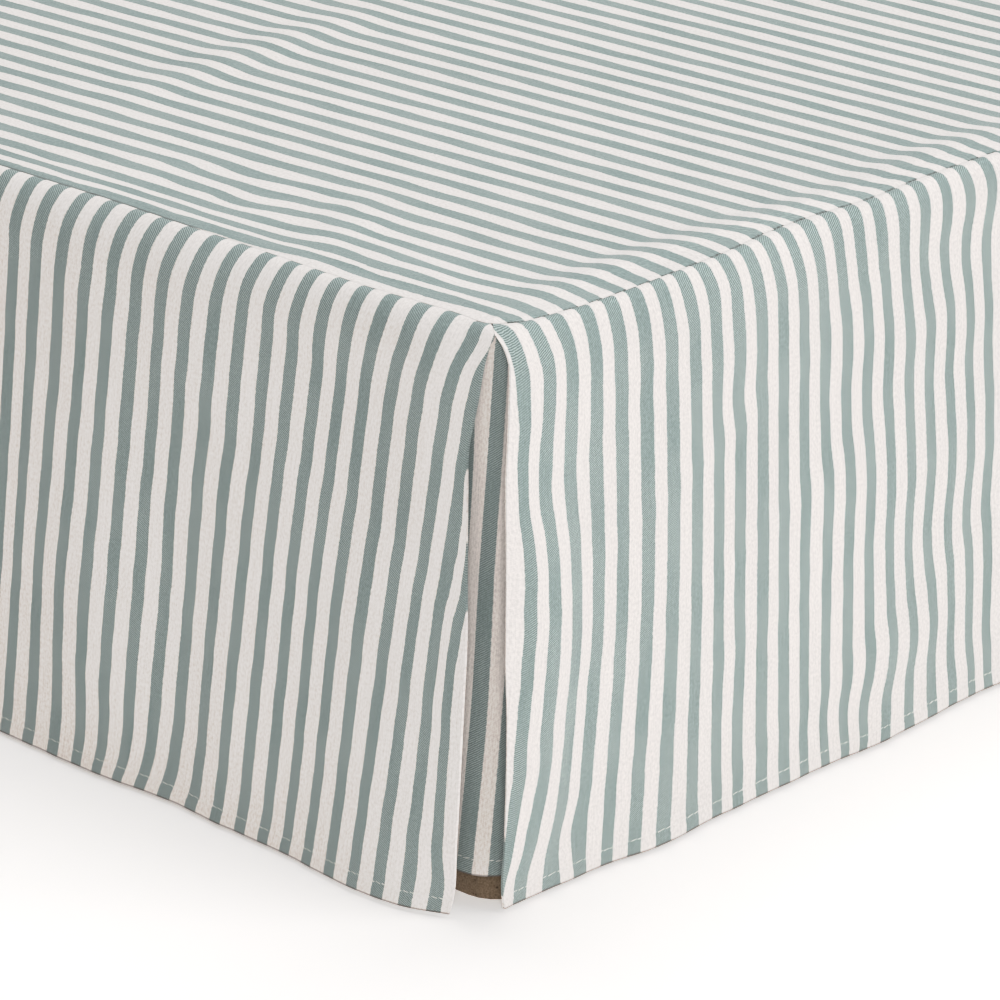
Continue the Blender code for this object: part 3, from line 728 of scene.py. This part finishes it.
def sheet_mesh(name, outer, inner, weave, yarn, sewing):
    """One closed sheet between two like grids.

    Weave holds the places across and along its stripes, yarn those along its side and down,
    and sewing the distances from its seam and from its hem.
    """
    across, down = outer.shape[:2]
    count = across * down
    points = np.concatenate([outer.reshape(-1, 3), inner.reshape(-1, 3)])
    index = np.arange(count).reshape(across, down)

    def quads(*corners):
        return np.stack(corners, axis=-1).reshape(-1, 4)

    front = quads(index[:-1, :-1], index[1:, :-1], index[1:, 1:], index[:-1, 1:])
    back = front[:, ::-1] + count
    rim = np.concatenate([index[:, 0], index[-1, 1:], index[-2::-1, -1], index[0, -2:0:-1]])
    after = np.roll(rim, -1)
    sides = quads(after, rim, rim + count, after + count)
    faces = np.concatenate([front, back, sides])
    a, b, c = outer[0, 0], outer[1, 0], outer[0, 1]
    if np.dot(np.cross(b - a, c - a), a - inner[0, 0]) < 0:
        faces = faces[:, ::-1]

    mesh = bpy.data.meshes.new(name)
    mesh.vertices.add(len(points))
    mesh.vertices.foreach_set("co", points.astype(np.float32).ravel())
    mesh.loops.add(faces.size)
    mesh.loops.foreach_set("vertex_index", faces.astype(np.int32).ravel())
    mesh.polygons.add(len(faces))
    mesh.polygons.foreach_set("loop_start", np.arange(0, faces.size, 4, dtype=np.int32))
    for layer_name, values in (("weave", weave), ("yarn", yarn), ("sewing", sewing)):
        layer = mesh.uv_layers.new(name=layer_name)
        places = np.concatenate([values.reshape(-1, 2)] * 2)[faces.ravel()]
        layer.data.foreach_set("uv", places.astype(np.float32).ravel())
    mesh.update(calc_edges=True)
    mesh.validate()
    mesh.shade_smooth()
    mesh.set_sharp_from_angle(angle=math.radians(50))
    piece = bpy.data.objects.new(name, mesh)
    bpy.context.scene.collection.objects.link(piece)
    return piece


def stripe_marks(rows, span):
    """Rows of (seam, hem, seam width, hem width), carried on to the end of the side."""
    marks = list(rows)
    seam, hem = marks[-1][:2]
    lean = hem - seam
    last = seam
    count = 1
    while last < span + PAST_END:
        last = seam + count * STRIPE_REPEAT + SEAM_STRAY * math.sin(count * 1.9)
        eased = lean * float(1 - ramp(last - seam, 0.0, LEAN_FADE))
        at_hem = last + eased + HEM_STRAY * math.sin(count * 0.7)
        marks.append(Stripe(last, at_hem, PLAIN_WIDTH, PLAIN_WIDTH))
        count += 1
    return np.array(marks)


def count_stripes(middles, widths, places):
    """Stripe counts at places: a coloured stripe reaches TEAL_SHARE / 2 from its whole number."""
    counts = np.arange(len(middles))
    edges = np.stack([middles - widths / 2, middles + widths / 2], axis=-1).ravel()
    at_edges = np.stack([counts - TEAL_SHARE / 2, counts + TEAL_SHARE / 2], axis=-1).ravel()
    return np.interp(places, edges, at_edges)


def stripe_at(marks, tugs, moved, depth, seed):
    """The stripe count at each place of a drop."""
    past_tugs = ramp(moved, *TUGS_END)
    straight = moved - TUG_REST * past_tugs * wander(moved * 0.3 + depth * 0.55, seed)
    straight -= STRIPE_WOBBLE * wander(depth * 2.1 + moved * 0.8, seed + 11)
    for tug in tugs:
        strength = bump(moved - tug.place, tug.reach) * bump(depth - tug.depth, tug.fall)
        straight -= tug.shift * strength
    share = depth / FULL_DROP
    found = np.empty(straight.shape)
    for j in range(found.shape[1]):
        middles = marks[:, 0] + (marks[:, 1] - marks[:, 0]) * share[0, j]
        widths = marks[:, 2] + (marks[:, 3] - marks[:, 2]) * share[0, j] + STRIPE_SPREAD
        found[:, j] = count_stripes(middles, widths, straight[:, j])
    return found


def drop_depths(side, row_step):
    """Depths of a drop's rows: fine round the shoulder and in the hem."""
    shoulder = side.hang.shoulder_drop
    turned = shoulder * (1 - np.cos(np.radians(np.arange(0.0, 90.0, 5.0))))
    hem_top = FULL_DROP - HEM_DEPTH - HEM_EASE
    straight = steps((shoulder, hem_top, row_step), (hem_top, FULL_DROP, HEM_ROW))
    return np.concatenate([turned, straight])


def sewn_relief(distance, place, seed):
    """Relief beside a sewn edge: the cloth dips into the seam and puckers next to it."""
    dip = -SEAM_DIP * np.exp(-((distance / SEAM_DIP_REACH) ** 2))
    swell = SEAM_SWELL * np.exp(-(((distance - SEAM_SWELL_PLACE) / SEAM_SWELL_REACH) ** 2))
    pitch = PUCKER_PITCH * (1 + 0.08 * wander(place * 0.2, seed))
    rows = np.sin(2 * np.pi * place / pitch + 1.3 * wander(place * 0.5, seed + 2))
    strength = 0.55 + 0.45 * wander(place * 0.7, seed + 5)
    pucker = PUCKER_RISE * rows * strength * np.exp(-distance / PUCKER_REACH)
    return dip + swell + pucker * ramp(distance, 0.0, 0.002)


def hem_relief(above_hem, place, seed):
    """Relief of a turned and stitched hem: thicker cloth under a sunk line of stitches."""
    thick = HEM_SWELL * (1 - ramp(above_hem, HEM_DEPTH - 0.0006, HEM_DEPTH + 0.0008))
    below = above_hem - HEM_DEPTH + STITCH_BELOW
    line = -STITCH_SINK * np.exp(-((below / STITCH_REACH) ** 2))
    slack = HEM_SLACK * wander(place * 2.2, seed) * np.exp(-above_hem / HEM_SLACK_REACH)
    return thick + line + slack


def hang_drop(name, side, stripes, tugs, places, row_step, creases, seed):
    """A drop, hung from its seam, with its rows of stripes."""
    depths = drop_depths(side, row_step)
    place, depth = np.meshgrid(places, depths, indexing="ij")
    moved = place + side.split_shift(place, depth)
    out = side.hang_out(place, moved, depth)
    face = side.at(moved, out, SEAM_HEIGHT - depth)
    normals = grid_normals(face)
    normals *= np.sign(np.sum(normals[:, -1] * side.out))
    run = np.linalg.norm(np.diff(face, axis=1), axis=-1)
    along = np.concatenate([np.zeros((len(places), 1)), np.cumsum(run, axis=1)], axis=1)
    relief = sewn_relief(along, place, seed) + hem_relief(FULL_DROP - depth, place, seed)
    relief += ridge_height(creases, place, depth)
    outer = face + normals * relief[..., None]
    outer[:, 0] = face[:, 0] - np.array((0, 0, SEAM_DIP))
    thick = CLOTH + HEM_INWARDS * np.clip(relief, 0, HEM_SWELL)
    joined = bump(place - side.start, JOINT_REACH) + bump(side.end - place, JOINT_REACH)
    thick *= 1 - JOINT_THINNING * joined * (1 - ramp(depth, JOINT_DEPTH, JOINT_END))
    inner = outer - normals * thick[..., None]
    inner[:, 0] = outer[:, 0] - np.array((0, 0, CLOTH))
    counts = stripe_at(stripe_marks(stripes, side.span), tugs, moved, depth, seed)
    weave = np.stack([counts * STRIPE_REPEAT, along], axis=-1)
    yarn = np.stack([moved, along], axis=-1)
    sewing = np.stack([along, along[:, -1:] - along], axis=-1)
    return sheet_mesh(name, outer, inner, weave, yarn, sewing)


# --- The deck ---
def deck_lift(from_foot, from_side):
    """How high the ridges lift the deck; its middle and its rim lie flat."""
    rim = np.minimum(np.minimum(from_foot, from_side), FOOT_SPAN - from_side)
    inside = np.clip((rim - SEAM_INSET) / DECK_FADE, 0.0, 1.0)
    return ridge_height(DECK_RIDGES, from_foot, from_side) * inside


def deck_stripe(from_foot, from_side):
    """The stripe count over the deck."""
    foot_pull = smooth(FOOT_PULLS, from_side)
    sooner = FOOT_PULL_SOONER * ramp(from_side, *SOONER_FROM)
    eased = 1 - ramp(from_foot, FOOT_PULL_START - sooner, FOOT_PULL_END - sooner)
    back = FOOT_BACK * bump(from_foot - FOOT_PULL_END + sooner, FOOT_BACK_REACH)
    pull = smooth(NEAR_PULLS, from_side) + foot_pull * (eased - back)
    for dent in DECK_DENTS:
        fade = bump(from_foot - dent.from_foot, dent.foot_reach)
        pull += dent.shift * fade * bump(from_side - dent.from_side, dent.side_reach)
    start = DECK_STRIPE_START - DECK_STRIPE_LEAN * from_foot
    straight = (from_side - pull - start) / DECK_STRIPE_PITCH
    straight += DECK_STRIPE_STRAY * wander(from_foot * 1.1 + from_side * 2.0, 2.0)
    whole = np.round(straight)
    # Where the stripes are squeezed together the coloured ones keep more of their width
    rate = np.gradient(straight, axis=1) / np.gradient(from_side, axis=1) * DECK_STRIPE_PITCH
    beside_seam = 0.25 + 0.75 * np.exp(-((from_side / SWELLING_REACH) ** 2))
    swelling = 1 + SWELLING * beside_seam * wander(from_foot * 1.5 + whole * 1.7, 7.0)
    half = DECK_STRIPE_SHARE / 2 * np.sqrt(np.clip(rate, *SQUEEZE)) * swelling
    off = np.abs(straight - whole)
    teal_half = TEAL_SHARE / 2
    inside = off * teal_half / half
    outside = teal_half + (off - half) * (0.5 - teal_half) / (0.5 - half)
    return whole + np.sign(straight - whole) * np.where(off < half, inside, outside)


def lay_deck():
    """The deck cloth, sewn on three sides and hemmed across the head."""
    head = LONG_SPAN - DECK_HEAD_INSET
    rows = steps(
        (0.0, 0.018, 0.0015),
        (0.018, 0.09, 0.003),
        (0.09, 0.64, 0.006),
        (0.64, head - 0.016, 0.015),
        (head - 0.016, head, 0.002),
    )
    edge = steps((0.0, 0.018, 0.0015), (0.018, 0.06, 0.003))
    middle = steps((0.06, 0.56, 0.006), (0.56, 0.94, 0.012))
    width = FOOT_SPAN - 2 * SEAM_INSET
    across = np.concatenate([edge, middle[:-1], width - edge])
    across = np.unique(np.round(across, 5)) / width
    s, t = np.meshgrid(rows / head, across, indexing="ij")
    # The rim follows the three seams; inside it the grid eases into straight rows
    along_foot = FOOT_START + t * (FOOT_SPAN - 2 * FOOT_START)
    foot_line = DECK_GAP - FOOT.seam_out(along_foot)
    from_foot = foot_line * (1 - s) + head * s
    along_side = np.maximum(from_foot, LONG_START)
    low = DECK_GAP - NEAR.seam_out(along_side)
    high = FOOT_SPAN - DECK_GAP + FAR.seam_out(along_side)
    from_side = low + (high - low) * t
    lift = deck_lift(from_foot, from_side)
    near_seam = np.abs(from_side - low)
    far_seam = np.abs(high - from_side)
    foot_seam = np.abs(from_foot - foot_line)
    from_seam = np.minimum(np.minimum(near_seam, far_seam), foot_seam)
    relief = sewn_relief(near_seam, from_foot, 3.0) + sewn_relief(far_seam, from_foot, 6.0)
    relief = np.maximum(relief + sewn_relief(foot_seam, from_side, 9.0), -SEAM_DIP)
    relief += hem_relief(head - from_foot, from_side, 4.0)
    relief = np.maximum(relief, -SEAM_DIP * np.exp(-((from_seam / SEAM_RIM_REACH) ** 2)))
    x, y = NEAR_CORNER[0] - from_foot, NEAR_CORNER[1] + from_side
    top = np.stack([x, y, SEAM_HEIGHT + lift + relief], axis=-1)
    under = top - np.array((0, 0, CLOTH))
    counts = deck_stripe(from_foot, from_side)
    weave = np.stack([counts * STRIPE_REPEAT, from_foot], axis=-1)
    yarn = np.stack([from_side, from_foot], axis=-1)
    sewing = np.stack([from_seam, head - from_foot], axis=-1)
    return sheet_mesh("deck_cloth", top, under, weave, yarn, sewing)


# --- The inserts ---
def hang_insert(name, corner, inward, seed):
    """A corner insert, behind the split, from under the long drop to under the foot drop."""
    top = BASE_HEIGHT - INSERT_SINK
    fall = top - INSERT_HEM_HEIGHT
    hem_top = fall - HEM_DEPTH - HEM_EASE
    depths = steps(
        (0.0, 0.0035, 0.0006),
        (0.0035, 0.012, 0.0015),
        (0.012, hem_top, 0.004),
        (hem_top, fall, HEM_ROW),
    )
    flank = INSERT_REACH - ROUND_CENTRE
    arc = ROUND_CENTRE * math.pi / 2
    line = steps((-flank, 0.0, 0.0025), (0.0, arc, 0.0012), (arc, arc + flank, 0.0025))
    place, depth = np.meshgrid(line, depths, indexing="ij")
    out = np.interp(depth, *zip(*INSERT_FALL))
    lean = INSERT_LEAN * depth / fall
    turn = np.clip(place / ROUND_CENTRE, 0.0, math.pi / 2)
    radius = ROUND_CENTRE + out + lean * np.cos(turn)
    before = np.minimum(place, 0.0)
    after = np.maximum(place - arc, 0.0)
    x = corner[0] - ROUND_CENTRE + radius * np.sin(turn) + before
    y = corner[1] + inward * (ROUND_CENTRE - radius * np.cos(turn) + after)
    face = np.stack([x, y, top - depth], axis=-1)
    normals = grid_normals(face)
    normals *= np.sign(np.dot(normals[len(line) // 2, -1], (1.0, -inward, 0.0)))
    relief = hem_relief(fall - depth, place, seed)
    outer = face + normals * relief[..., None]
    inner = outer - normals * CLOTH
    inner[:, 0] = outer[:, 0] - np.array((0, 0, CLOTH))
    length = before + turn * radius + after
    counts = np.empty(place.shape)
    for j, deep in enumerate(depths):
        middles = np.array([smooth(zip(INSERT_DEPTHS, row), deep) for row in INSERT_STRIPES])
        width = smooth(zip(INSERT_DEPTHS, INSERT_WIDTHS), deep)
        counts[:, j] = count_stripes(middles, width, length[:, j])
    weave = np.stack([counts * STRIPE_REPEAT, depth], axis=-1)
    yarn = np.stack([length, depth], axis=-1)
    sewing = np.stack([depth, fall - depth], axis=-1)
    return sheet_mesh(name, outer, inner, weave, yarn, sewing)


# --- Finishes ---
class Term:
    """A number in a shader, whose sums and products add their own Math nodes."""

    def __init__(self, finish, socket):
        self.finish = finish
        self.socket = socket

    def math(self, operation, *others):
        return self.finish.add("ShaderNodeMath", {"operation": operation}, self, *others)

    def __add__(self, other):
        return self.math("ADD", other)

    def __sub__(self, other):
        return self.math("SUBTRACT", other)

    def __rsub__(self, other):
        return self.finish.add("ShaderNodeMath", {"operation": "SUBTRACT"}, other, self)

    def __mul__(self, other):
        return self.math("MULTIPLY", other)

    def __truediv__(self, other):
        return self.math("DIVIDE", other)

    __radd__ = __add__
    __rmul__ = __mul__


class Finish:
    """A material, and the one way in which its nodes are added."""

    def __init__(self, name, roughness, sheen=0.0, sheen_roughness=0.5):
        self.material = bpy.data.materials.new(name)
        self.material.use_nodes = True
        self.tree = self.material.node_tree
        self.shader = self.tree.nodes["Principled BSDF"]
        self.feed("Roughness", roughness)
        self.feed("Specular IOR Level", 0.25)
        self.feed("Sheen Weight", sheen)
        self.feed("Sheen Roughness", sheen_roughness)

    def add(self, kind, settings, *values, output=0, **named):
        """A node of a kind: its settings first, then the values or links of its sockets."""
        node = self.tree.nodes.new(kind)
        for key, value in settings.items():
            setattr(node, key, value)
        for key, value in [*enumerate(values), *named.items()]:
            self.join(value, node.inputs[key])
        return Term(self, node.outputs[output])

    def join(self, value, socket):
        """Feed a socket with a term, a number or a colour."""
        if isinstance(value, Term):
            self.tree.links.new(value.socket, socket)
        else:
            socket.default_value = value

    def feed(self, name, value):
        self.join(value, self.shader.inputs[name])

    def mix(self, share, first, second):
        """A colour between two."""
        mixed = self.add("ShaderNodeMix", {"data_type": "RGBA"}, share, output=2)
        self.join(first, mixed.socket.node.inputs[6])
        self.join(second, mixed.socket.node.inputs[7])
        return mixed

    def step(self, value, start, end):
        """0 below start and 1 above end, eased between."""
        settings = {"interpolation_type": "SMOOTHSTEP", "clamp": True}
        return self.add("ShaderNodeMapRange", settings, value, start, end, 0.0, 1.0)

    def relief(self, strength, distance, height):
        """Fine relief that only the light sees."""
        node = self.add("ShaderNodeBump", {}, Strength=strength, Distance=distance, Height=height)
        self.feed("Normal", node)


CREAM = (0.872, 0.812, 0.772, 1.0)
CREAM_SHADE = (0.65, 0.59, 0.552, 1.0)
TEAL = (0.266, 0.328, 0.319, 1.0)
TEAL_DEEP = (0.146, 0.192, 0.186, 1.0)
RIB_DARK = (0.058, 0.088, 0.085, 1.0)
RIB_PALE = (0.62, 0.665, 0.648, 1.0)
SEAM_DARK = (0.06, 0.058, 0.052, 1.0)
STITCH_PALE = (0.83, 0.8, 0.76, 1.0)
HEM_EDGE_PAINTED_SHADOW = (0.11, 0.08, 0.066, 1.0)
COVER_DARK = (0.112, 0.078, 0.047, 1.0)
COVER_PALE = (0.325, 0.23, 0.15, 1.0)
COVER_SPOT = (0.03, 0.02, 0.013, 1.0)
STRIPE_SOFT = 0.018
STRIPE_DRIFT = 0.04
TWILL_PITCH = 0.00124
TWILL_LEAN = 57.0
THREADS_PER_METRE = 1500.0
STITCH_PITCH = 0.0054
STITCH_SHARE = 0.76
STITCH_HEIGHT = 0.0104
STITCH_TILT = 0.001
STITCH_HALF = 0.0003
SEAM_SHADE_REACH = (0.0002, 0.0015)
HEM_SHADE_REACH = (0.0004, 0.0015)
WEAVE_HEIGHT = 0.00018


def striped_twill(name):
    """Cream cotton twill with woven dusty teal stripes, hem stitches, and painted shade at its
    seams and along its hem's edge.
    """
    finish = Finish(name, 0.88, sheen=0.26, sheen_roughness=0.45)

    def layer(uv_map):
        places = finish.add("ShaderNodeUVMap", {"uv_map": uv_map})
        first = finish.add("ShaderNodeSeparateXYZ", {}, places)
        return first, Term(finish, first.socket.node.outputs[1])

    across, along = layer("weave")
    beside, down = layer("yarn")
    from_seam, above_hem = layer("sewing")

    def noise(x_scale, y_scale, detail=2.0, shift=0.0):
        x, y = across * x_scale + shift, along * y_scale
        place = finish.add("ShaderNodeCombineXYZ", {}, x, y, 0.0)
        flat = {"noise_dimensions": "2D"}
        return finish.add("ShaderNodeTexNoise", flat, Vector=place, Scale=1.0, Detail=detail)

    # Stripes, with an edge that wanders by a thread
    drift = (noise(160.0, 420.0, 3.0) - 0.5) * STRIPE_DRIFT
    count = across / STRIPE_REPEAT + 0.5
    off_middle = (count.math("FRACT") - 0.5).math("ABSOLUTE") + drift
    half = TEAL_SHARE / 2
    teal = 1.0 - finish.step(off_middle, half - STRIPE_SOFT, half + STRIPE_SOFT)

    # Twill: fine ribs that rise to one side, broken up by uneven yarn
    lean = math.radians(TWILL_LEAN)
    rib_place = beside * (math.cos(lean) / TWILL_PITCH) + down * (math.sin(lean) / TWILL_PITCH)
    uneven = (noise(500.0, 500.0, 1.0, 7.0) - 0.5) * 0.5
    rib = ((rib_place + uneven) * (2 * math.pi)).math("SINE") * 0.5 + 0.5
    threads = noise(THREADS_PER_METRE, 26.0, 2.0, 3.0)
    wefts = noise(60.0, THREADS_PER_METRE, 1.0, 5.0)
    slubs = noise(640.0, 430.0, 2.0, 23.0)
    cloudy = noise(9.0, 6.0, 3.0, 11.0)
    worn = finish.step(noise(34.0, 16.0, 3.0, 17.0), 0.3, 0.62)

    yarns = (threads - 0.5) * 1.2 + (slubs - 0.5) * 2.0 + (cloudy - 0.5) * 0.4
    cream = finish.mix(yarns * 0.85 + (0.5 - rib) * 0.15 + 0.36, CREAM, CREAM_SHADE)
    dyed = finish.mix(yarns * 0.6 + 0.4, TEAL, TEAL_DEEP)
    ribbed = finish.mix(finish.step(rib, 0.25, 0.8), RIB_DARK, RIB_PALE)
    dyed = finish.mix(0.13 + worn * 0.25, dyed, ribbed)
    colour = finish.mix(teal, cream, dyed)

    # The seam draws the cloth into shade, darkest in short stretches across the teal
    stretches = finish.step(noise(420.0, 0.0, 1.0, 41.0), 0.42, 0.58)
    in_seam = 1.0 - finish.step(from_seam, *SEAM_SHADE_REACH)
    shade = in_seam * (0.08 + teal * 0.12 + stretches * teal * 0.6)
    colour = finish.mix(shade, colour, SEAM_DARK)

    # Hem stitches: pale slanting dashes that show on the teal and sink into the cream
    dash = (across / STITCH_PITCH).math("FRACT")
    line = above_hem - STITCH_HEIGHT - (dash - 0.38) * STITCH_TILT
    on_line = 1.0 - finish.step(line.math("ABSOLUTE"), STITCH_HALF * 0.6, STITCH_HALF * 1.4)
    stitch = on_line * (1.0 - finish.step(dash, STITCH_SHARE - 0.05, STITCH_SHARE + 0.05))
    colour = finish.mix(stitch * (0.5 + stretches * 0.4), colour, STITCH_PALE)

    # Painted shade along the turned edge of the hem, darker on the teal, for the shadow where the
    # hem meets the floor
    painted_hem_shadow = 1.0 - finish.step(above_hem, *HEM_SHADE_REACH)
    colour = finish.mix(painted_hem_shadow * (0.62 + teal * 0.18), colour, HEM_EDGE_PAINTED_SHADOW)
    finish.feed("Base Color", colour)
    finish.feed("Roughness", 0.84 + threads * 0.1)

    height = rib * (0.35 + teal * 0.45) + threads * 0.55 + wefts * 0.3 + cloudy * 1.2
    height += stitch * 2.0
    finish.relief(0.5, WEAVE_HEIGHT, height)
    return finish.material


def base_cover(name):
    """The rough brown cloth that covers the bed base."""
    finish = Finish(name, 0.93, sheen=0.1)
    place = finish.add("ShaderNodeTexCoord", {}, output=3)
    grain = finish.add("ShaderNodeTexNoise", {}, Vector=place, Scale=900.0, Detail=3.0)
    patches = finish.add("ShaderNodeTexNoise", {}, Vector=place, Scale=35.0, Detail=3.0)
    shade = (grain - 0.5) * 1.6 + (patches - 0.5) * 0.8 + 0.5
    colour = finish.mix(shade, COVER_DARK, COVER_PALE)
    dots = finish.add("ShaderNodeTexVoronoi", {}, Vector=place, Scale=260.0)
    spots = (1.0 - finish.step(dots, 0.1, 0.3)) * 0.75
    finish.feed("Base Color", finish.mix(spots, colour, COVER_SPOT))
    finish.relief(0.6, 0.0004, grain)
    return finish.material


# --- The room ---
def place_camera():
    """A camera that looks at the near foot corner."""
    heading, tilt, roll = map(math.radians, (CAMERA_HEADING, CAMERA_TILT, CAMERA_ROLL))
    ahead, aside = math.cos(heading) * math.cos(tilt), math.sin(heading) * math.cos(tilt)
    forward = np.array((-ahead, aside, -math.sin(tilt)))
    level = np.array((math.sin(heading), math.cos(heading), 0.0))
    upright = np.cross(level, forward)
    right = math.cos(roll) * level + math.sin(roll) * upright
    up = math.cos(roll) * upright - math.sin(roll) * level
    pixel = CAMERA_DISTANCE / FOCAL_PIXELS
    off_right = (CORNER_PIXEL[0] - PICTURE_SIZE / 2) * pixel
    off_down = (CORNER_PIXEL[1] - PICTURE_SIZE / 2) * pixel
    corner = NEAR_CORNER + np.array((0, 0, CORNER_HEIGHT))
    spot = corner - forward * CAMERA_DISTANCE - right * off_right + up * off_down
    lens = bpy.data.cameras.new("camera")
    lens.sensor_fit = "HORIZONTAL"
    lens.sensor_width = SENSOR
    lens.lens = FOCAL_PIXELS / PICTURE_SIZE * SENSOR
    lens.clip_end = 60.0
    camera = bpy.data.objects.new("camera", lens)
    bpy.context.scene.collection.objects.link(camera)
    turn = Matrix([list(row) for row in zip(right, up, -forward)]).to_4x4()
    camera.matrix_world = Matrix.Translation(Vector(spot)) @ turn
    bpy.context.scene.camera = camera


def light_room():
    """Three soft lamps, turned to the corner, and a faint even light all round."""
    corner = Vector(NEAR_CORNER)
    lit = corner + Vector(LIT_PLACE)
    for lamp in LAMPS:
        light = bpy.data.lights.new(lamp.name, "AREA")
        light.shape = "RECTANGLE"
        light.size = light.size_y = lamp.size
        light.energy = lamp.power
        item = bpy.data.objects.new(lamp.name, light)
        bpy.context.scene.collection.objects.link(item)
        item.location = corner + Vector(lamp.place)
        item.rotation_euler = (lit - item.location).to_track_quat("-Z", "Y").to_euler()
    world = bpy.context.scene.world = bpy.data.worlds.new("room")
    world.use_nodes = True
    sky = world.node_tree.nodes["Background"]
    sky.inputs[0].default_value = (1.0, 0.985, 0.975, 1.0)
    sky.inputs[1].default_value = SKY_LIGHT


def lay_floor():
    """The pale floor, which glows a little, as a lit studio floor does."""
    bpy.ops.object.select_all(action="DESELECT")
    bpy.ops.mesh.primitive_plane_add(size=60.0, location=(0, 0, 0))
    floor = bpy.context.object
    floor.name = "floor"
    finish = Finish("pale floor", 0.9)
    finish.feed("Base Color", (0.93, 0.91, 0.9, 1.0))
    finish.feed("Emission Color", (1.0, 0.955, 0.925, 1.0))
    finish.feed("Emission Strength", FLOOR_GLOW)
    floor.data.materials.append(finish.material)


def set_film():
    """A film that holds the pale cloth back from burning out, as the photographer's does."""
    view = bpy.context.scene.view_settings
    view.view_transform = "Standard"
    view.use_curve_mapping = True
    film = view.curve_mapping
    film.white_level = (FILM_WHITE,) * 3
    curve = film.curves[3]
    for light, shown in FILM_CURVE:
        curve.points.new(light / FILM_WHITE, shown)
    film.update()


# --- The dressed model ---
def dress(piece, node, finish):
    """Give a sheet its cloth, hang it on the root body and hide the solid that it stands for."""
    piece.data.materials.append(finish)
    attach(piece, "root")
    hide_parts(node)


def build_skirt():
    """All the cloth, its columns closest together beside the near foot corner."""
    twill = striped_twill("striped twill")
    near_places = steps((NEAR.start, 0.52, 0.0032), (0.52, NEAR.end, 0.009))
    far_places = steps((FAR.start, 0.1, 0.004), (0.1, FAR.end, 0.009))
    foot_places = steps((FOOT.start, 0.52, 0.0032), (0.52, 0.92, 0.008), (0.92, FOOT.end, 0.004))
    near = (NEAR, NEAR_STRIPES, NEAR_TUGS, near_places, 0.004, NEAR_CREASES, 1.0)
    far = (FAR, NEAR_STRIPES, NEAR_TUGS, far_places, 0.008, FAR_CREASES, 2.0)
    foot = (FOOT, FOOT_STRIPES, FOOT_TUGS, foot_places, 0.004, FOOT_CREASES, 5.0)
    dress(lay_deck(), "deck", twill)
    for name, node, flat, drop in (
        ("near_drop", "drop_near", (1.935, 0.417), near),
        ("far_drop", "drop_far", (1.935, 0.417), far),
        ("foot_drop", "drop_foot", (1.020, 0.417), foot),
    ):
        dress(hang_drop(name, *drop), node, twill)
    for name, corner, inward, node, seed in (
        ("near_insert", NEAR_CORNER, 1, "insert_near", 7.0),
        ("far_insert", FAR_CORNER, -1, "insert_far", 8.0),
    ):
        insert = hang_insert(name, corner, inward, seed)
        dress(insert, node, twill)


def finish_base():
    """The base keeps its mesh and gets its cover."""
    cover = base_cover("brown cover")
    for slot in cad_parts["bed_base"].material_slots:
        slot.material = cover


place_camera()
light_room()
lay_floor()
build_skirt()
finish_base()
set_film()
